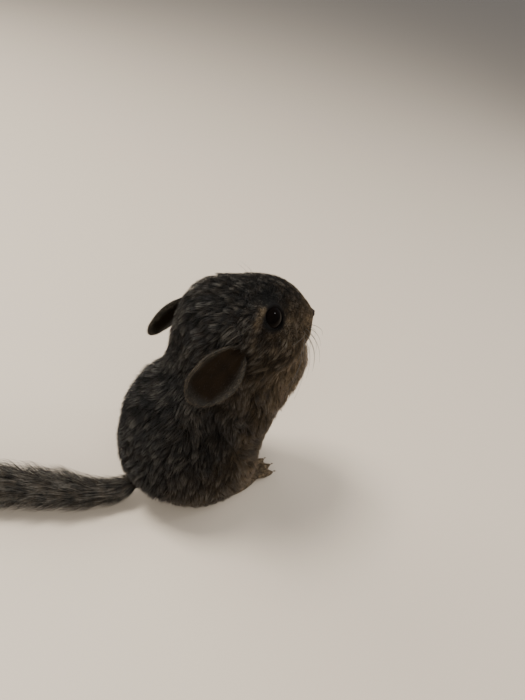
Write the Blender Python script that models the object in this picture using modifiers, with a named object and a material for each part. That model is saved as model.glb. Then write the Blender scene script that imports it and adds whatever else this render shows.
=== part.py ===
"""A young grey chinchilla, life size, sitting up on its haunches with its ears laid back.

The form is one field of soft lumps, each an ellipsoid that runs into its neighbours. A piece of the body is
that field's surface, seen from a centre inside the piece, and thin cuts part it from the next piece.

The chinchilla faces +X, its left side is +Y, and it sits on z = 0 with the middle of its seat at the origin.
Its tail lies behind it on the floor. Sizes are written in millimetres, and MM turns them into metres.
"""

import math
import random
from collections import namedtuple

import bmesh
import bpy
import numpy as np
from mathutils import Euler, Matrix, Vector

MM = 0.001

# The room that one piece leaves to the next.
GAP = 0.3

# Driving sizes of the animal.
SEAT_WIDTH = 70
SHOULDER_HEIGHT = 79
HEAD_CENTRE = Vector((24, 1, 112))
HEAD_ROLL = -12
EYE_RADIUS = 6.5
EAR_LENGTH = 33.4
EAR_WIDTH = 21.7
EAR_THICKNESS = 0.9
EAR_DEPTH = 3.4
EYE_CENTRE = (-0.8, 14.3, 4.4)
EYE_FACING = (0.32, 0.88, 0.36)
LID_LIFT = 4.0
LID_RADIUS = math.sqrt((EYE_RADIUS + GAP + 0.4) ** 2 - LID_LIFT**2)
NOSE_CENTRE = (32.4, 0, -6.2)
FOOT_LENGTH = 36
TAIL_SPREAD = 12.5

SIDES = {"left": 1, "right": -1}

# Where each ear starts and where it points to, in the head's frame. The left one is carried higher.
EAR_LINES = {
    "left": ((-15.1, 22.4, 2.4), (-34.6, 27.9, -16)),
    "right": ((-14.5, 22.5, -2.6), (-39.4, 24.9, -21)),
}

Lump = namedtuple("Lump", "place half soft")


# Helpers for the field of lumps

def lump(centre, half, tilt=(0, 0, 0), soft=8):
    """One ellipsoid: centre, half sizes, tilt in degrees, and how softly it runs into those before it."""
    turn = Euler([math.radians(angle) for angle in tilt]).to_matrix().to_4x4()
    return Lump(Matrix.Translation(centre) @ turn, np.array(half, float), soft)


def pair(centre, half, tilt=(0, 0, 0), soft=8):
    """The same lump on the left and on the right."""
    x, y, z = centre
    roll, pitch, yaw = tilt
    return [lump((x, side * y, z), half, (side * roll, pitch, side * yaw), soft) for side in SIDES.values()]


def carried(frame, lumps):
    """Lumps that are written in another frame, such as the head's."""
    return [Lump(frame @ each.place, each.half, each.soft) for each in lumps]


def distance_to(points, each):
    """About how far each point lies outside one lump, negative inside."""
    back = np.array(each.place.inverted())
    local = points @ back[:3, :3].T + back[:3, 3]
    near = np.linalg.norm(local / each.half, axis=-1)
    steep = np.linalg.norm(local / each.half**2, axis=-1)
    return near * (near - 1) / np.maximum(steep, 1e-9)


def field(points, lumps):
    """About how far each point lies outside all the lumps, joined softly."""
    total = distance_to(points, lumps[0])
    for each in lumps[1:]:
        other = distance_to(points, each)
        blend = np.clip(0.5 + 0.5 * (total - other) / each.soft, 0, 1)
        total = total + (other - total) * blend - each.soft * blend * (1 - blend)
    return total


def skin_along(centre, rays, lumps, grow=0.0):
    """Where each ray from the centre first leaves the lumps, grown by a margin."""
    reach = np.linspace(0, 120, 61)
    centre = np.array(centre, float)
    points = centre + rays[:, None, :] * reach[None, :, None]
    outside = field(points.reshape(-1, 3), lumps).reshape(len(rays), -1) > grow
    first = np.maximum(outside.argmax(axis=1), 1)
    low = reach[first - 1]
    high = reach[first]
    for _ in range(16):
        middle = (low + high) / 2
        out = field(centre + rays * middle[:, None], lumps) > grow
        high = np.where(out, middle, high)
        low = np.where(out, low, middle)
    return centre + rays * high[:, None]


# Helpers for meshes

def fresh_scene():
    """Removes what the scene holds and makes the two collections."""
    for obj in list(bpy.data.objects):
        bpy.data.objects.remove(obj, do_unlink=True)
    made = []
    for name in ("chinchilla", "cutters"):
        made.append(bpy.data.collections.new(name))
        bpy.context.scene.collection.children.link(made[-1])
    return made


PARTS, CUTTERS = fresh_scene()

# The empty that carries every piece, at the middle of the seat.
SEAT = bpy.data.objects.new("seat", None)
PARTS.objects.link(SEAT)


def as_object(name, shape, collection=CUTTERS):
    """An object from a bmesh in millimetres, with its faces pointing out."""
    bmesh.ops.recalc_face_normals(shape, faces=shape.faces)
    bmesh.ops.scale(shape, vec=(MM, MM, MM), verts=shape.verts)
    mesh = bpy.data.meshes.new(name)
    shape.to_mesh(mesh)
    shape.free()
    obj = bpy.data.objects.new(name, mesh)
    collection.objects.link(obj)
    if collection is CUTTERS:
        obj.hide_render = True
        obj.display_type = "WIRE"
    return obj


def surface(name, centre, lumps, detail, grow=0.0, finer=None):
    """The skin of the lumps: a ball whose points are pushed out from the centre until they leave the field.

    finer is a direction and an angle in degrees: the ball has smaller faces that near to the direction.
    """
    shape = bmesh.new()
    bmesh.ops.create_icosphere(shape, subdivisions=detail, radius=1)
    if finer:
        towards, angle = finer
        near = {point for point in shape.verts if point.co.angle(towards) < math.radians(angle)}
        edges = [edge for edge in shape.edges if near.issuperset(edge.verts)]
        bmesh.ops.subdivide_edges(shape, edges=edges, cuts=1)
        bmesh.ops.triangulate(shape, faces=shape.faces)
    rays = np.array([point.co.normalized() for point in shape.verts])
    for point, place in zip(shape.verts, skin_along(centre, rays, lumps, grow)):
        point.co = place
    return as_object(name, shape)


def ellipsoid(name, centre, half, tilt=(0, 0, 0), detail=3):
    """One ellipsoid as a mesh."""
    shape = bmesh.new()
    bmesh.ops.create_icosphere(shape, subdivisions=detail, radius=1)
    each = lump(centre, half, tilt)
    shape.transform(each.place @ Matrix.Diagonal((*each.half, 1)))
    return as_object(name, shape)


def half_space(name, point, normal, size=260):
    """A large block on the side of a plane that the normal points to."""
    shape = bmesh.new()
    bmesh.ops.create_cube(shape, size=size)
    turn = Vector(normal).to_track_quat("Z", "Y").to_matrix().to_4x4()
    shape.transform(Matrix.Translation(point) @ turn @ Matrix.Translation((0, 0, size / 2)))
    return as_object(name, shape)


def loft(name, rings):
    """A closed skin over rings of points, with a flat cap at each end."""
    shape = bmesh.new()
    rows = [[shape.verts.new(point) for point in ring] for ring in rings]
    count = len(rows[0])
    for near, far in zip(rows, rows[1:]):
        for at in range(count):
            after = (at + 1) % count
            shape.faces.new((near[at], near[after], far[after], far[at]))
    shape.faces.new(reversed(rows[0]))
    shape.faces.new(rows[-1])
    bmesh.ops.triangulate(shape, faces=shape.faces)
    return as_object(name, shape)


def bake(obj):
    """Puts the shape that the modifiers give into the object's own mesh."""
    graph = bpy.context.evaluated_depsgraph_get()
    mesh = bpy.data.meshes.new_from_object(obj.evaluated_get(graph))
    old = obj.data
    obj.modifiers.clear()
    obj.data = mesh
    bpy.data.meshes.remove(old)


def enclosed(faces):
    """A measure of what a closed surface holds, whichever way its faces point."""
    return abs(sum(face.calc_center_median().dot(face.normal) * face.calc_area() for face in faces))


def keep_largest(obj):
    """Keeps the closed surface that holds most, and drops any scrap that a cut leaves."""
    shape = bmesh.new()
    shape.from_mesh(obj.data)
    waiting = set(shape.faces)
    shells = []
    while waiting:
        shell = {waiting.pop()}
        edge = list(shell)
        while edge:
            near = {face for side in edge.pop().edges for face in side.link_faces} & waiting
            waiting -= near
            shell |= near
            edge += near
        shells.append(shell)
    shells.sort(key=enclosed)
    for shell in shells[:-1]:
        bmesh.ops.delete(shape, geom=list(shell), context="FACES")
    shape.to_mesh(obj.data)
    shape.free()


def combine(obj, tools, operation, solver="EXACT"):
    """Applies one Boolean for each tool and keeps the largest closed surface."""
    for tool in tools:
        modifier = obj.modifiers.new(operation.lower(), "BOOLEAN")
        modifier.operation = operation
        modifier.solver = solver
        modifier.object = tool
    bake(obj)
    keep_largest(obj)


def fuse(obj, pieces, solver="EXACT"):
    """Joins closed pieces to an object by one Boolean union on their collection, then removes them."""
    together = bpy.data.collections.new("pieces of " + obj.name)
    bpy.context.scene.collection.children.link(together)
    for piece in pieces:
        CUTTERS.objects.unlink(piece)
        together.objects.link(piece)
    modifier = obj.modifiers.new("union", "BOOLEAN")
    modifier.operation = "UNION"
    modifier.solver = solver
    modifier.operand_type = "COLLECTION"
    modifier.collection = together
    bake(obj)
    for piece in list(together.objects):
        bpy.data.objects.remove(piece, do_unlink=True)
    bpy.data.collections.remove(together)
    keep_largest(obj)


def material(name, colour, roughness):
    """A plain Principled finish."""
    made = bpy.data.materials.new(name)
    made.use_nodes = True
    shader = made.node_tree.nodes["Principled BSDF"]
    shader.inputs["Base Color"].default_value = (*colour, 1)
    shader.inputs["Roughness"].default_value = roughness
    return made


def finish(obj, name, look):
    """Moves a finished piece from the cutters to the model, named, with its origin at its middle."""
    CUTTERS.objects.unlink(obj)
    PARTS.objects.link(obj)
    obj.name = name
    obj.data.name = name
    obj.hide_render = False
    obj.display_type = "TEXTURED"
    obj.data.materials.clear()
    obj.data.materials.append(look)
    obj.data.shade_smooth()
    corners = [Vector(corner) for corner in obj.bound_box]
    middle = sum(corners, Vector()) / len(corners)
    obj.data.transform(Matrix.Translation(-middle))
    obj.location = middle
    obj.parent = SEAT


BACK_FUR = material("charcoal back fur", (0.045, 0.042, 0.041), 0.9)
CHEST_FUR = material("beige grey chest fur", (0.16, 0.135, 0.11), 0.9)
TAIL_HAIR = material("dark tail hair", (0.06, 0.055, 0.052), 0.8)
EAR_SKIN = material("brown grey ear skin", (0.11, 0.075, 0.055), 0.6)
EYE_BLACK = material("black eye", (0.004, 0.003, 0.003), 0.05)
NOSE_SKIN = material("pale brown nose skin", (0.22, 0.14, 0.11), 0.5)
PAW_SKIN = material("pale paw skin", (0.3, 0.21, 0.17), 0.6)


# The field: torso, limbs, neck and head

HEAD_FRAME = Matrix.Translation(HEAD_CENTRE) @ Matrix.Rotation(math.radians(HEAD_ROLL), 4, "X")

TORSO = [
    lump((-4, 0, 29), (33, SEAT_WIDTH / 2, 30)),
    lump((-4, 0, 52), (31, 30, 31), (0, 8, 0), 10),
    lump((11, 0, SHOULDER_HEIGHT), (26, 25, 25), (0, 15, 0), 10),
    lump((34, 0, 72), (26, 21, 26), (0, -10, 0), 12),
    lump((21, 0, 38), (25, 25, 30), soft=12),
]
THIGHS = pair((8, 20.5, 22.5), (26, 14, 23), soft=5)
UPPER_ARMS = pair((25, 18, 60), (13, 8.5, 16), (0, -20, 0), 5)
FOREARMS = pair((35, 12.5, 54), (14, 6, 6.5), (0, 12, -26), 4)
NECK = [
    lump((10, 0, 92), (25, 25, 16), (0, 20, 0), 8),
    lump((42.5, 0, 80.5), (19, 19, 14), soft=6),
]
HEAD = carried(HEAD_FRAME, [
    lump((-13, 0, -3), (23, 24.5, 22)),
    lump((5, 0, 2), (18.5, 14.5, 15.5), (0, 15, 0), 8),
    lump((15, 0, -4), (17, 12, 12.5), (0, 18, 0), 9),
    lump((23.5, 0, -7), (9.5, 7.5, 7.5), (0, 10, 0), 6),
    *pair((3, 13.5, -12), (17, 11.5, 13)),
    *pair((21.8, 6.2, -11.3), (7.8, 6.6, 7.2), soft=3),
    lump((18, 0, -20.3), (8, 6.6, 5), soft=3),
    lump((12, 0, -19), (16, 11, 9)),
])
FORM = TORSO + THIGHS + UPPER_ARMS + FOREARMS + NECK + HEAD

TORSO_HEART = (6, 0, 56)
NECK_HEART = (12, 0, 90)
HEAD_HEART = HEAD_FRAME @ Vector((-3, 0, -5))
FACE = (HEAD_FRAME.to_3x3() @ Vector((1, 0, -0.2)), 36)

# The planes that part head, neck and torso, each by a point on it and the direction towards the head.
HEAD_PARTING = (Vector((-14, 0, 105)), Vector((0.25, 0, 1)).normalized())
NECK_PARTING = (Vector((-18, 0, 94)), Vector((0.22, 0, 1)).normalized())


def above(name, parting, shift):
    """The block over a parting plane that is moved towards the head by a shift."""
    point, up = parting
    return half_space(name, point + up * shift, up)


def below(name, parting, shift):
    """The block under a parting plane that is moved towards the head by a shift."""
    point, up = parting
    return half_space(name, point + up * shift, -up)


# Limbs

# The block that parts each limb from the body: centre, half sizes and tilt on the left side, and fineness.
THIGH_BLOCK = ((9, 30, 20), (28, 17, 25), (0, 0, -8), 3)
ARM_BLOCK = ((33, 21, 54), (22, 12.5, 18), (0, 10, -22), 2)


def limb_block(name, block, side, grow=0.0):
    """The rounded block whose share of the body is one limb."""
    (x, y, z), half, (roll, pitch, yaw), detail = block
    tilt = (side * roll, pitch, side * yaw)
    return ellipsoid(name, (x, side * y, z), np.array(half) + grow, tilt, detail)


def digit(name, start, end, radius, grow=0.0):
    """A toe or finger: a long ellipsoid from knuckle to tip, grown by a margin."""
    start, end = Vector(start), Vector(end)
    along = end - start
    pitch = -math.degrees(math.asin(along.z / along.length))
    yaw = math.degrees(math.atan2(along.y, along.x))
    half = np.array((along.length / 2 + radius * 0.6, radius, radius)) + grow
    return ellipsoid(name, (start + end) / 2, half, (0, pitch, yaw), 2)


def hind_foot(side):
    """The long hind foot, flat on the floor, with three toes and a small inner one."""
    toe_x = 14 + FOOT_LENGTH
    sole = foot_room(side, 0)
    toes = []
    for spread, reach in ((-4.2, 0.86), (-0.6, 1.0), (3.2, 0.93)):
        knuckle = (36, side * (17.8 + spread), 4.0)
        tip = (36 + (toe_x - 36) * reach, side * (16.6 + spread * 1.35), 2.3)
        toes.append(digit("toe", knuckle, tip, 2.3))
    toes.append(digit("inner toe", (33, side * 13.6, 3.2), (39, side * 11.4, 2.2), 1.7))
    fuse(sole, toes)
    return sole


def foot_room(side, grow):
    """The foot without its toes, grown by a margin."""
    return ellipsoid("sole", (24, side * 20.3, 4.8), np.array((17.5, 7, 6.6)) + grow, (0, 4, -side * 10), 3)


# The middle of the left palm, its half sizes, and how far its four fingers lie from its middle line.
PALM_CENTRE = Vector((45.5, 6.8, 51.5))
PALM_HALF = (5.2, 3.9, 3.5)
FINGER_SPREADS = (-3.0, -1.0, 1.0, 3.0)
FINGER_RADIUS = 1.15


def fore_paw(side, grow=0.0):
    """A small hand held before the chest, with four fingers curled down, all grown by a margin."""
    middle = Vector((PALM_CENTRE.x, side * PALM_CENTRE.y, PALM_CENTRE.z))
    hand = ellipsoid("palm", middle, np.array(PALM_HALF) + grow, (0, 25, -side * 20), 2)
    fingers = []
    for spread in FINGER_SPREADS:
        knuckle = middle + Vector((3.0, side * spread * 0.9, -1.2))
        tip = middle + Vector((6.2 - abs(spread) * 0.4, side * (spread * 1.15 - 0.6), -6.2))
        fingers.append(digit("finger", knuckle, tip, FINGER_RADIUS, grow))
    fuse(hand, fingers)
    return hand


# Tail

# Each row is a place on the tail's middle line, the radius of its core, and how far its hair stands out.
TAIL = (
    ((-30, -5, 10), 4.2, 6),
    ((-38, -5, 8.4), 4.2, 7),
    ((-52, -1.8, 8.8), 4.5, 9),
    ((-66, 3.6, 11), 5.4, 12),
    ((-79, 9.6, 12), 5.8, TAIL_SPREAD),
    ((-92, 16, 11.6), 5.6, TAIL_SPREAD),
    ((-106, 24, 10.4), 4.6, 11),
    ((-118, 32, 9), 2.2, 7),
)
TAIL_PATH = [Vector(place) for place, _, _ in TAIL]
TAIL_CORE = [core for _, core, _ in TAIL]
TAIL_COAT = [coat for _, _, coat in TAIL]
TAIL_PARTINGS = (0.36, 0.68)
CORE_STEPS = 11
CORE_SIDES = 7
LOCK_ROWS = 8
LOCKS_AROUND = 6
# A lock's length as a share of the tail's, and the tail's length in millimetres.
LOCK_SWEEP = 0.16
TAIL_LENGTH = 110
# Cross-sections along a lock: share of its length, of its width, and its thickness.
LOCK_SECTIONS = ((0, 0.75, 1.3), (0.3, 1, 1.3), (0.65, 0.8, 0.9), (1, 0.12, 0.3))


def tail_at(along):
    """Place, direction, core radius and coat radius at a share of the tail's length."""
    spot = np.clip(along, 0, 1) * (len(TAIL_PATH) - 1)
    at = min(int(spot), len(TAIL_PATH) - 2)
    share = spot - at
    before = TAIL_PATH[max(at - 1, 0)]
    start, end = TAIL_PATH[at], TAIL_PATH[at + 1]
    after = TAIL_PATH[min(at + 2, len(TAIL_PATH) - 1)]
    lean_in, lean_out = (end - before) / 2, (after - start) / 2
    cube, square = share**3, share**2
    place = (
        start * (2 * cube - 3 * square + 1)
        + lean_in * (cube - 2 * square + share)
        + end * (3 * square - 2 * cube)
        + lean_out * (cube - square)
    )
    direction = lean_in.lerp(lean_out, share).normalized()
    core = TAIL_CORE[at] + (TAIL_CORE[at + 1] - TAIL_CORE[at]) * share
    coat = TAIL_COAT[at] + (TAIL_COAT[at + 1] - TAIL_COAT[at]) * share
    return place, direction, core, coat


def tail_radial(direction, turn):
    """The direction square to the tail at an angle round it, 0 to its side and 90 degrees up."""
    across = direction.cross(Vector((0, 0, 1))).normalized()
    return across * math.cos(turn) + across.cross(direction) * math.sin(turn)


def tail_core():
    """The tail's flesh and underfur as a smooth tapered rod."""
    rings = []
    for step in range(CORE_STEPS + 1):
        place, direction, core, _ = tail_at(step / CORE_STEPS)
        turns = (math.tau * at / CORE_SIDES for at in range(CORE_SIDES))
        rings.append([place + tail_radial(direction, turn) * core for turn in turns])
    return loft("tail core", rings)


def lock(along, turn, dice):
    """One flat, tapered lock of bristly hair, from inside the core out towards the tail's tip."""
    length = LOCK_SWEEP * dice.uniform(0.85, 1.15)
    lift = dice.uniform(0.9, 1.05)
    width = dice.uniform(4.6, 5.4)
    rings = []
    for reach, broad, thick in LOCK_SECTIONS:
        place, direction, core, coat = tail_at(along + length * reach)
        beyond = max(along + length * reach - 1, 0) * TAIL_LENGTH
        place = place + direction * beyond
        out = tail_radial(direction, turn)
        side = out.cross(direction).normalized()
        height = core * 0.45 + (coat * lift - core * 0.45) * math.sin(reach * math.pi / 2) ** 0.9
        if beyond:
            height *= max(1 - beyond / 26, 0.2)
        middle = place + out * height
        middle.z = max(middle.z, 0.5)
        edge = side * width * broad
        rings.append([middle - edge, middle - out * thick / 2, middle + edge, middle + out * thick / 2])
    return loft("lock", rings)


def make_tail(torso_shell):
    """The tail in three lengths, each with its core and its locks."""
    dice = random.Random(7)
    whole = tail_core()
    cuts = (0.0, *TAIL_PARTINGS, 1.0)
    names = ("tail_root", "tail_middle", "tail_tip")
    cones = []
    for share in TAIL_PARTINGS:
        place, direction, _, _ = tail_at(share)
        cones.append((place, direction))
    for name, start, end in zip(names, cuts, cuts[1:]):
        length = as_copy(whole, name)
        locks = []
        for row in range(LOCK_ROWS):
            along = (row + 0.5) / LOCK_ROWS * 0.98
            if not start <= along < end:
                continue
            for at in range(LOCKS_AROUND):
                turn = math.tau * (at + 0.5 * (row % 2) + dice.uniform(-0.15, 0.15)) / LOCKS_AROUND
                locks.append(lock(along + dice.uniform(-0.012, 0.012), turn, dice))
        fuse(length, locks)
        if start > 0:
            place, direction = cones[names.index(name) - 1]
            combine(length, [cone("parting", place, direction, GAP / 2)], "INTERSECT")
        else:
            combine(length, [torso_shell], "DIFFERENCE")
        if end < 1:
            place, direction = cones[names.index(name)]
            combine(length, [cone("parting", place, direction, -GAP / 2)], "DIFFERENCE")
        combine(length, [half_space("floor", (0, 0, 0), (0, 0, 1), 400)], "INTERSECT")
        finish(length, name, TAIL_HAIR)
    bpy.data.objects.remove(whole, do_unlink=True)


def cone(name, place, direction, shift, angle=38, depth=110):
    """A cone that opens towards the tail's tip, along the lie of the hair, from the tail's middle line."""
    shape = bmesh.new()
    wide = depth * math.tan(math.radians(angle))
    bmesh.ops.create_cone(shape, cap_ends=True, segments=16, radius1=0, radius2=wide, depth=depth)
    turn = direction.to_track_quat("Z", "Y").to_matrix().to_4x4()
    start = place + direction * (shift / math.sin(math.radians(angle)) - 4)
    shape.transform(Matrix.Translation(start) @ turn @ Matrix.Translation((0, 0, depth / 2)))
    bmesh.ops.remove_doubles(shape, verts=shape.verts, dist=1e-4)
    return as_object(name, shape)


def as_copy(obj, name):
    """A second object with the same shape."""
    twin = bpy.data.objects.new(name, obj.data.copy())
    CUTTERS.objects.link(twin)
    twin.hide_render = True
    twin.display_type = "WIRE"
    return twin


# Ears

def ear(word):
    """A thin round leaf, cupped along its length, from the fur of the head back along the neck."""
    shape = bmesh.new()
    bmesh.ops.create_grid(shape, x_segments=8, y_segments=9, size=1)
    for point in shape.verts:
        x, y, _ = point.co
        across = x * math.sqrt(1 - y * y / 2)
        share = (y * math.sqrt(1 - x * x / 2) + 1) / 2
        narrow = 0.45 + 0.55 * math.sin(min(share / 0.55, 1) * math.pi / 2)
        depth = EAR_DEPTH * (1 - 0.4 * share) * (1 - across * across) - 1
        point.co = (across * EAR_WIDTH / 2 * narrow, -depth, share * EAR_LENGTH)
    leaf = as_object("ear leaf", shape)
    thicken = leaf.modifiers.new("thickness", "SOLIDIFY")
    thicken.thickness = EAR_THICKNESS * MM
    thicken.offset = 0
    bake(leaf)
    side = SIDES[word]
    base, tip = (from_head(point, side) for point in EAR_LINES[word])
    along = (tip - base).normalized()
    outward = Vector((-0.3, side, 0.3))
    outward = (outward - along * outward.dot(along)).normalized()
    across = outward.cross(along)
    frame = Matrix((across, outward, along)).transposed().to_4x4()
    frame.translation = base * MM
    leaf.data.transform(frame)
    return leaf


# Face

def from_head(point, side=1):
    """A place in the head's own frame, on the left or mirrored to the right."""
    x, y, z = point
    return HEAD_FRAME @ Vector((x, side * y, z))


def socket(side, grow):
    """The ball of the eye, grown by a margin."""
    return ellipsoid("eye ball", from_head(EYE_CENTRE, side), (EYE_RADIUS + grow,) * 3, detail=3)


# The rim of the lids: half its breadth and height, and how many steps it has round the eye and round itself.
LID_BREADTH = 1.35
LID_HEIGHT = 0.9
LID_STEPS = 20
LID_SIDES = 6


def lids(side):
    """The thick rim of skin round the eye, an almond ring that lies on the ball."""
    turn_head = HEAD_FRAME.to_3x3()
    facing = (turn_head @ Vector((EYE_FACING[0], side * EYE_FACING[1], EYE_FACING[2]))).normalized()
    forward = turn_head @ Vector((1, 0, -0.35))
    forward = (forward - facing * forward.dot(facing)).normalized()
    up = facing.cross(forward) * side
    middle = from_head(EYE_CENTRE, side) + facing * LID_LIFT
    rings = []
    for step in range(LID_STEPS):
        turn = math.tau * step / LID_STEPS
        outward = forward * math.cos(turn) * 1.08 + up * math.sin(turn) * 0.97
        place = middle + outward * LID_RADIUS
        outward = outward.normalized()
        angles = (math.tau * at / LID_SIDES for at in range(LID_SIDES))
        rings.append([place + outward * math.cos(angle) * LID_BREADTH + facing * math.sin(angle) * LID_HEIGHT
                      for angle in angles])
    return ring_of("lids", rings)


def ring_of(name, rings):
    """A closed tube through rings of points that come back to the first."""
    shape = bmesh.new()
    rows = [[shape.verts.new(point) for point in ring] for ring in rings]
    count = len(rows[0])
    for near, far in zip(rows, rows[1:] + rows[:1]):
        for at in range(count):
            after = (at + 1) % count
            shape.faces.new((near[at], near[after], far[after], far[at]))
    bmesh.ops.triangulate(shape, faces=shape.faces)
    return as_object(name, shape)


# The line between the lips: how far it runs to each side, in degrees round the muzzle, half its height in
# front, its place in the head, and a cross-section as reach outwards and lift, in heights.
MOUTH_REACH = 55
MOUTH_OPEN = 0.5
MOUTH_CENTRE = Vector((13.8, 0, -17.2))
MOUTH_HALF = (11.5, 8.5)
MOUTH_CURL = 1.8
MOUTH_SECTION = ((-0.6, 0), (2.5, -1), (8, -2), (8, 2), (2.5, 1))


def mouth_cutter():
    """A thin bent wedge along the line between the lips, from cheek to cheek under the nose."""
    rings = []
    for step in range(11):
        turn = math.radians(MOUTH_REACH * (step / 5 - 1))
        side = math.sin(turn)
        long, wide = MOUTH_HALF
        place = MOUTH_CENTRE + Vector((long * math.cos(turn), wide * side, MOUTH_CURL * abs(side)))
        out = Vector((math.cos(turn), side, 0))
        tall = MOUTH_OPEN * (1 - 0.4 * abs(side))
        rings.append([from_head(place + out * reach + Vector((0, 0, tall * lift)))
                      for reach, lift in MOUTH_SECTION])
    return loft("mouth", rings)


NOSE_HALF = (3, 3.4, 2.4)
NOSTRIL_HALF = (1.8, 0.5, 1.1)


def nose_pad(grow=0.0):
    """The bare end of the nose."""
    return ellipsoid("nose pad", from_head(NOSE_CENTRE), np.array(NOSE_HALF) + grow, (HEAD_ROLL, -20, 0), 3)


def nostril(side):
    """One slanting nostril slit."""
    place = from_head((NOSE_CENTRE[0] + 2.4, 1.7, NOSE_CENTRE[2] - 0.2), side)
    return ellipsoid("nostril", place, NOSTRIL_HALF, (side * 35, 0, -side * 25), 1)


# Assembly

def make_head():
    """The head with its eye sockets, lids, mouth line and a seat for the nose."""
    head = surface("head skin", HEAD_HEART, FORM, 4, finer=FACE)
    combine(head, [above("over the neck", HEAD_PARTING, GAP / 2)], "INTERSECT")
    fuse(head, [lids(side) for side in SIDES.values()])
    sockets = [socket(side, GAP) for side in SIDES.values()]
    combine(head, sockets + [mouth_cutter(), nose_pad(GAP)], "DIFFERENCE")
    finish(head, "head", BACK_FUR)


def make_face():
    """The eyes and the end of the nose."""
    for word, side in SIDES.items():
        finish(socket(side, 0), "eye_" + word, EYE_BLACK)
    nose = nose_pad()
    combine(nose, [nostril(side) for side in SIDES.values()], "DIFFERENCE")
    finish(nose, "nose", NOSE_SKIN)


def make_body():
    """Neck, torso and the upper part of each leg, cut from one form."""
    floor = half_space("floor", (0, 0, 0), (0, 0, 1))
    neck = surface("neck skin", NECK_HEART, FORM, 4)
    under_head = below("under the head", HEAD_PARTING, -GAP / 2)
    over_torso = above("over the torso", NECK_PARTING, GAP / 2)
    combine(neck, [under_head, over_torso], "INTERSECT")
    finish(neck, "neck", BACK_FUR)
    under_neck = below("under the neck", NECK_PARTING, -GAP / 2)
    torso = surface("torso skin", TORSO_HEART, FORM, 4)
    combine(torso, [under_neck, floor], "INTERSECT")
    for word, side in SIDES.items():
        limbs = (
            ("hindleg_", THIGH_BLOCK, foot_room(side, GAP)),
            ("foreleg_", ARM_BLOCK, fore_paw(side, GAP)),
        )
        for name, block, room in limbs:
            leg = surface(name + "skin", TORSO_HEART, FORM, 4)
            combine(leg, [under_neck, floor, limb_block("limb", block, side)], "INTERSECT")
            taken = [room]
            if block is ARM_BLOCK:
                taken.append(limb_block("thigh room", THIGH_BLOCK, side, GAP))
            combine(leg, taken, "DIFFERENCE")
            finish(leg, name + word, CHEST_FUR)
            combine(torso, [limb_block("limb room", block, side, GAP), room], "DIFFERENCE")
    finish(torso, "torso", BACK_FUR)


def make_feet_and_ears():
    """The hind feet, cut flat on the floor, the hands, and the ears, which start outside the head's fur."""
    floor = half_space("floor", (0, 0, 0), (0, 0, 1))
    fur = surface("fur round the ears", HEAD_HEART, FORM, 4, GAP)
    for word, side in SIDES.items():
        foot = hind_foot(side)
        combine(foot, [floor], "INTERSECT")
        finish(foot, "hindfoot_" + word, PAW_SKIN)
        finish(fore_paw(side), "forepaw_" + word, PAW_SKIN)
        leaf = ear(word)
        combine(leaf, [fur], "DIFFERENCE")
        finish(leaf, "ear_" + word, EAR_SKIN)


def main():
    make_head()
    make_face()
    make_body()
    make_feet_and_ears()
    make_tail(surface("torso shell", TORSO_HEART, FORM, 4, GAP))


main()
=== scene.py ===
# %% [markdown]
# # A young grey chinchilla, sitting up on its haunches
#
# A museum would show this animal life size: about 13 cm to the crown, with a tail stretched out on the floor.
# The solid model already holds its form out to the tips of the coat. This script dresses that form: a skin
# under the coat, the coat itself as many thin tufts of mesh, ears, eyes, nose, whiskers and claws.
#
# Lengths are written in millimetres and turned into Blender's metres with MM where a mesh is made.

# %% Load the solid model
import math

import bmesh
import bpy
import numpy as np
from mathutils import Matrix, Vector
from mathutils.bvhtree import BVHTree
from mathutils.kdtree import KDTree


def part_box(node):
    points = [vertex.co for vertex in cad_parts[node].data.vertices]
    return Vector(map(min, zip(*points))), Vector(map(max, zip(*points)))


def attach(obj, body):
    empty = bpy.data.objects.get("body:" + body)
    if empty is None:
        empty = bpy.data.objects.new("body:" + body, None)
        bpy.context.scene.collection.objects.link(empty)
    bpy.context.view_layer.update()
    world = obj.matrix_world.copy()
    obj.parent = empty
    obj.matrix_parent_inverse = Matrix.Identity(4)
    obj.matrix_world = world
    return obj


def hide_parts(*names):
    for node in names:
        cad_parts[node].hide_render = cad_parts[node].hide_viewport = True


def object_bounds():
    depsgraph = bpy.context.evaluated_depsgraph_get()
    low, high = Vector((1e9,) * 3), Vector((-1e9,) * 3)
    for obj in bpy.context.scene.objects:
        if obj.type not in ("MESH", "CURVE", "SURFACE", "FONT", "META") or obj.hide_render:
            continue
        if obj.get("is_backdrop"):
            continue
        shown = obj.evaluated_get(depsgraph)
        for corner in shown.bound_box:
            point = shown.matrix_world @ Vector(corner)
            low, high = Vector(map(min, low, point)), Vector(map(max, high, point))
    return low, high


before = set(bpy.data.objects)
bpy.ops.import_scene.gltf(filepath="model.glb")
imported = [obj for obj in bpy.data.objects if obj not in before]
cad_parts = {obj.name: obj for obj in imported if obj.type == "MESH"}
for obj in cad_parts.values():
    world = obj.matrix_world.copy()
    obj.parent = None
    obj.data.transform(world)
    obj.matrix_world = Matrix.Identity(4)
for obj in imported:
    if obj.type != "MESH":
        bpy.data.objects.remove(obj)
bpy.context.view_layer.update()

MM = 0.001
SIDES = {"left": 1, "right": -1}

# %% [markdown]
# ## Camera, floor and light
#
# The photograph looks down on the animal by about 42 degrees, from behind its right side, and is a little
# rolled. A wide lens at a short distance gives strong perspective, so the lens matters as much as the place.

# %% Camera
CAMERA_PLACE = (-94.4, -165.4, 270.4)
CAMERA_TURN = (47.66, -11.23, -27.94)
CAMERA_LENS = 28.8

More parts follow.
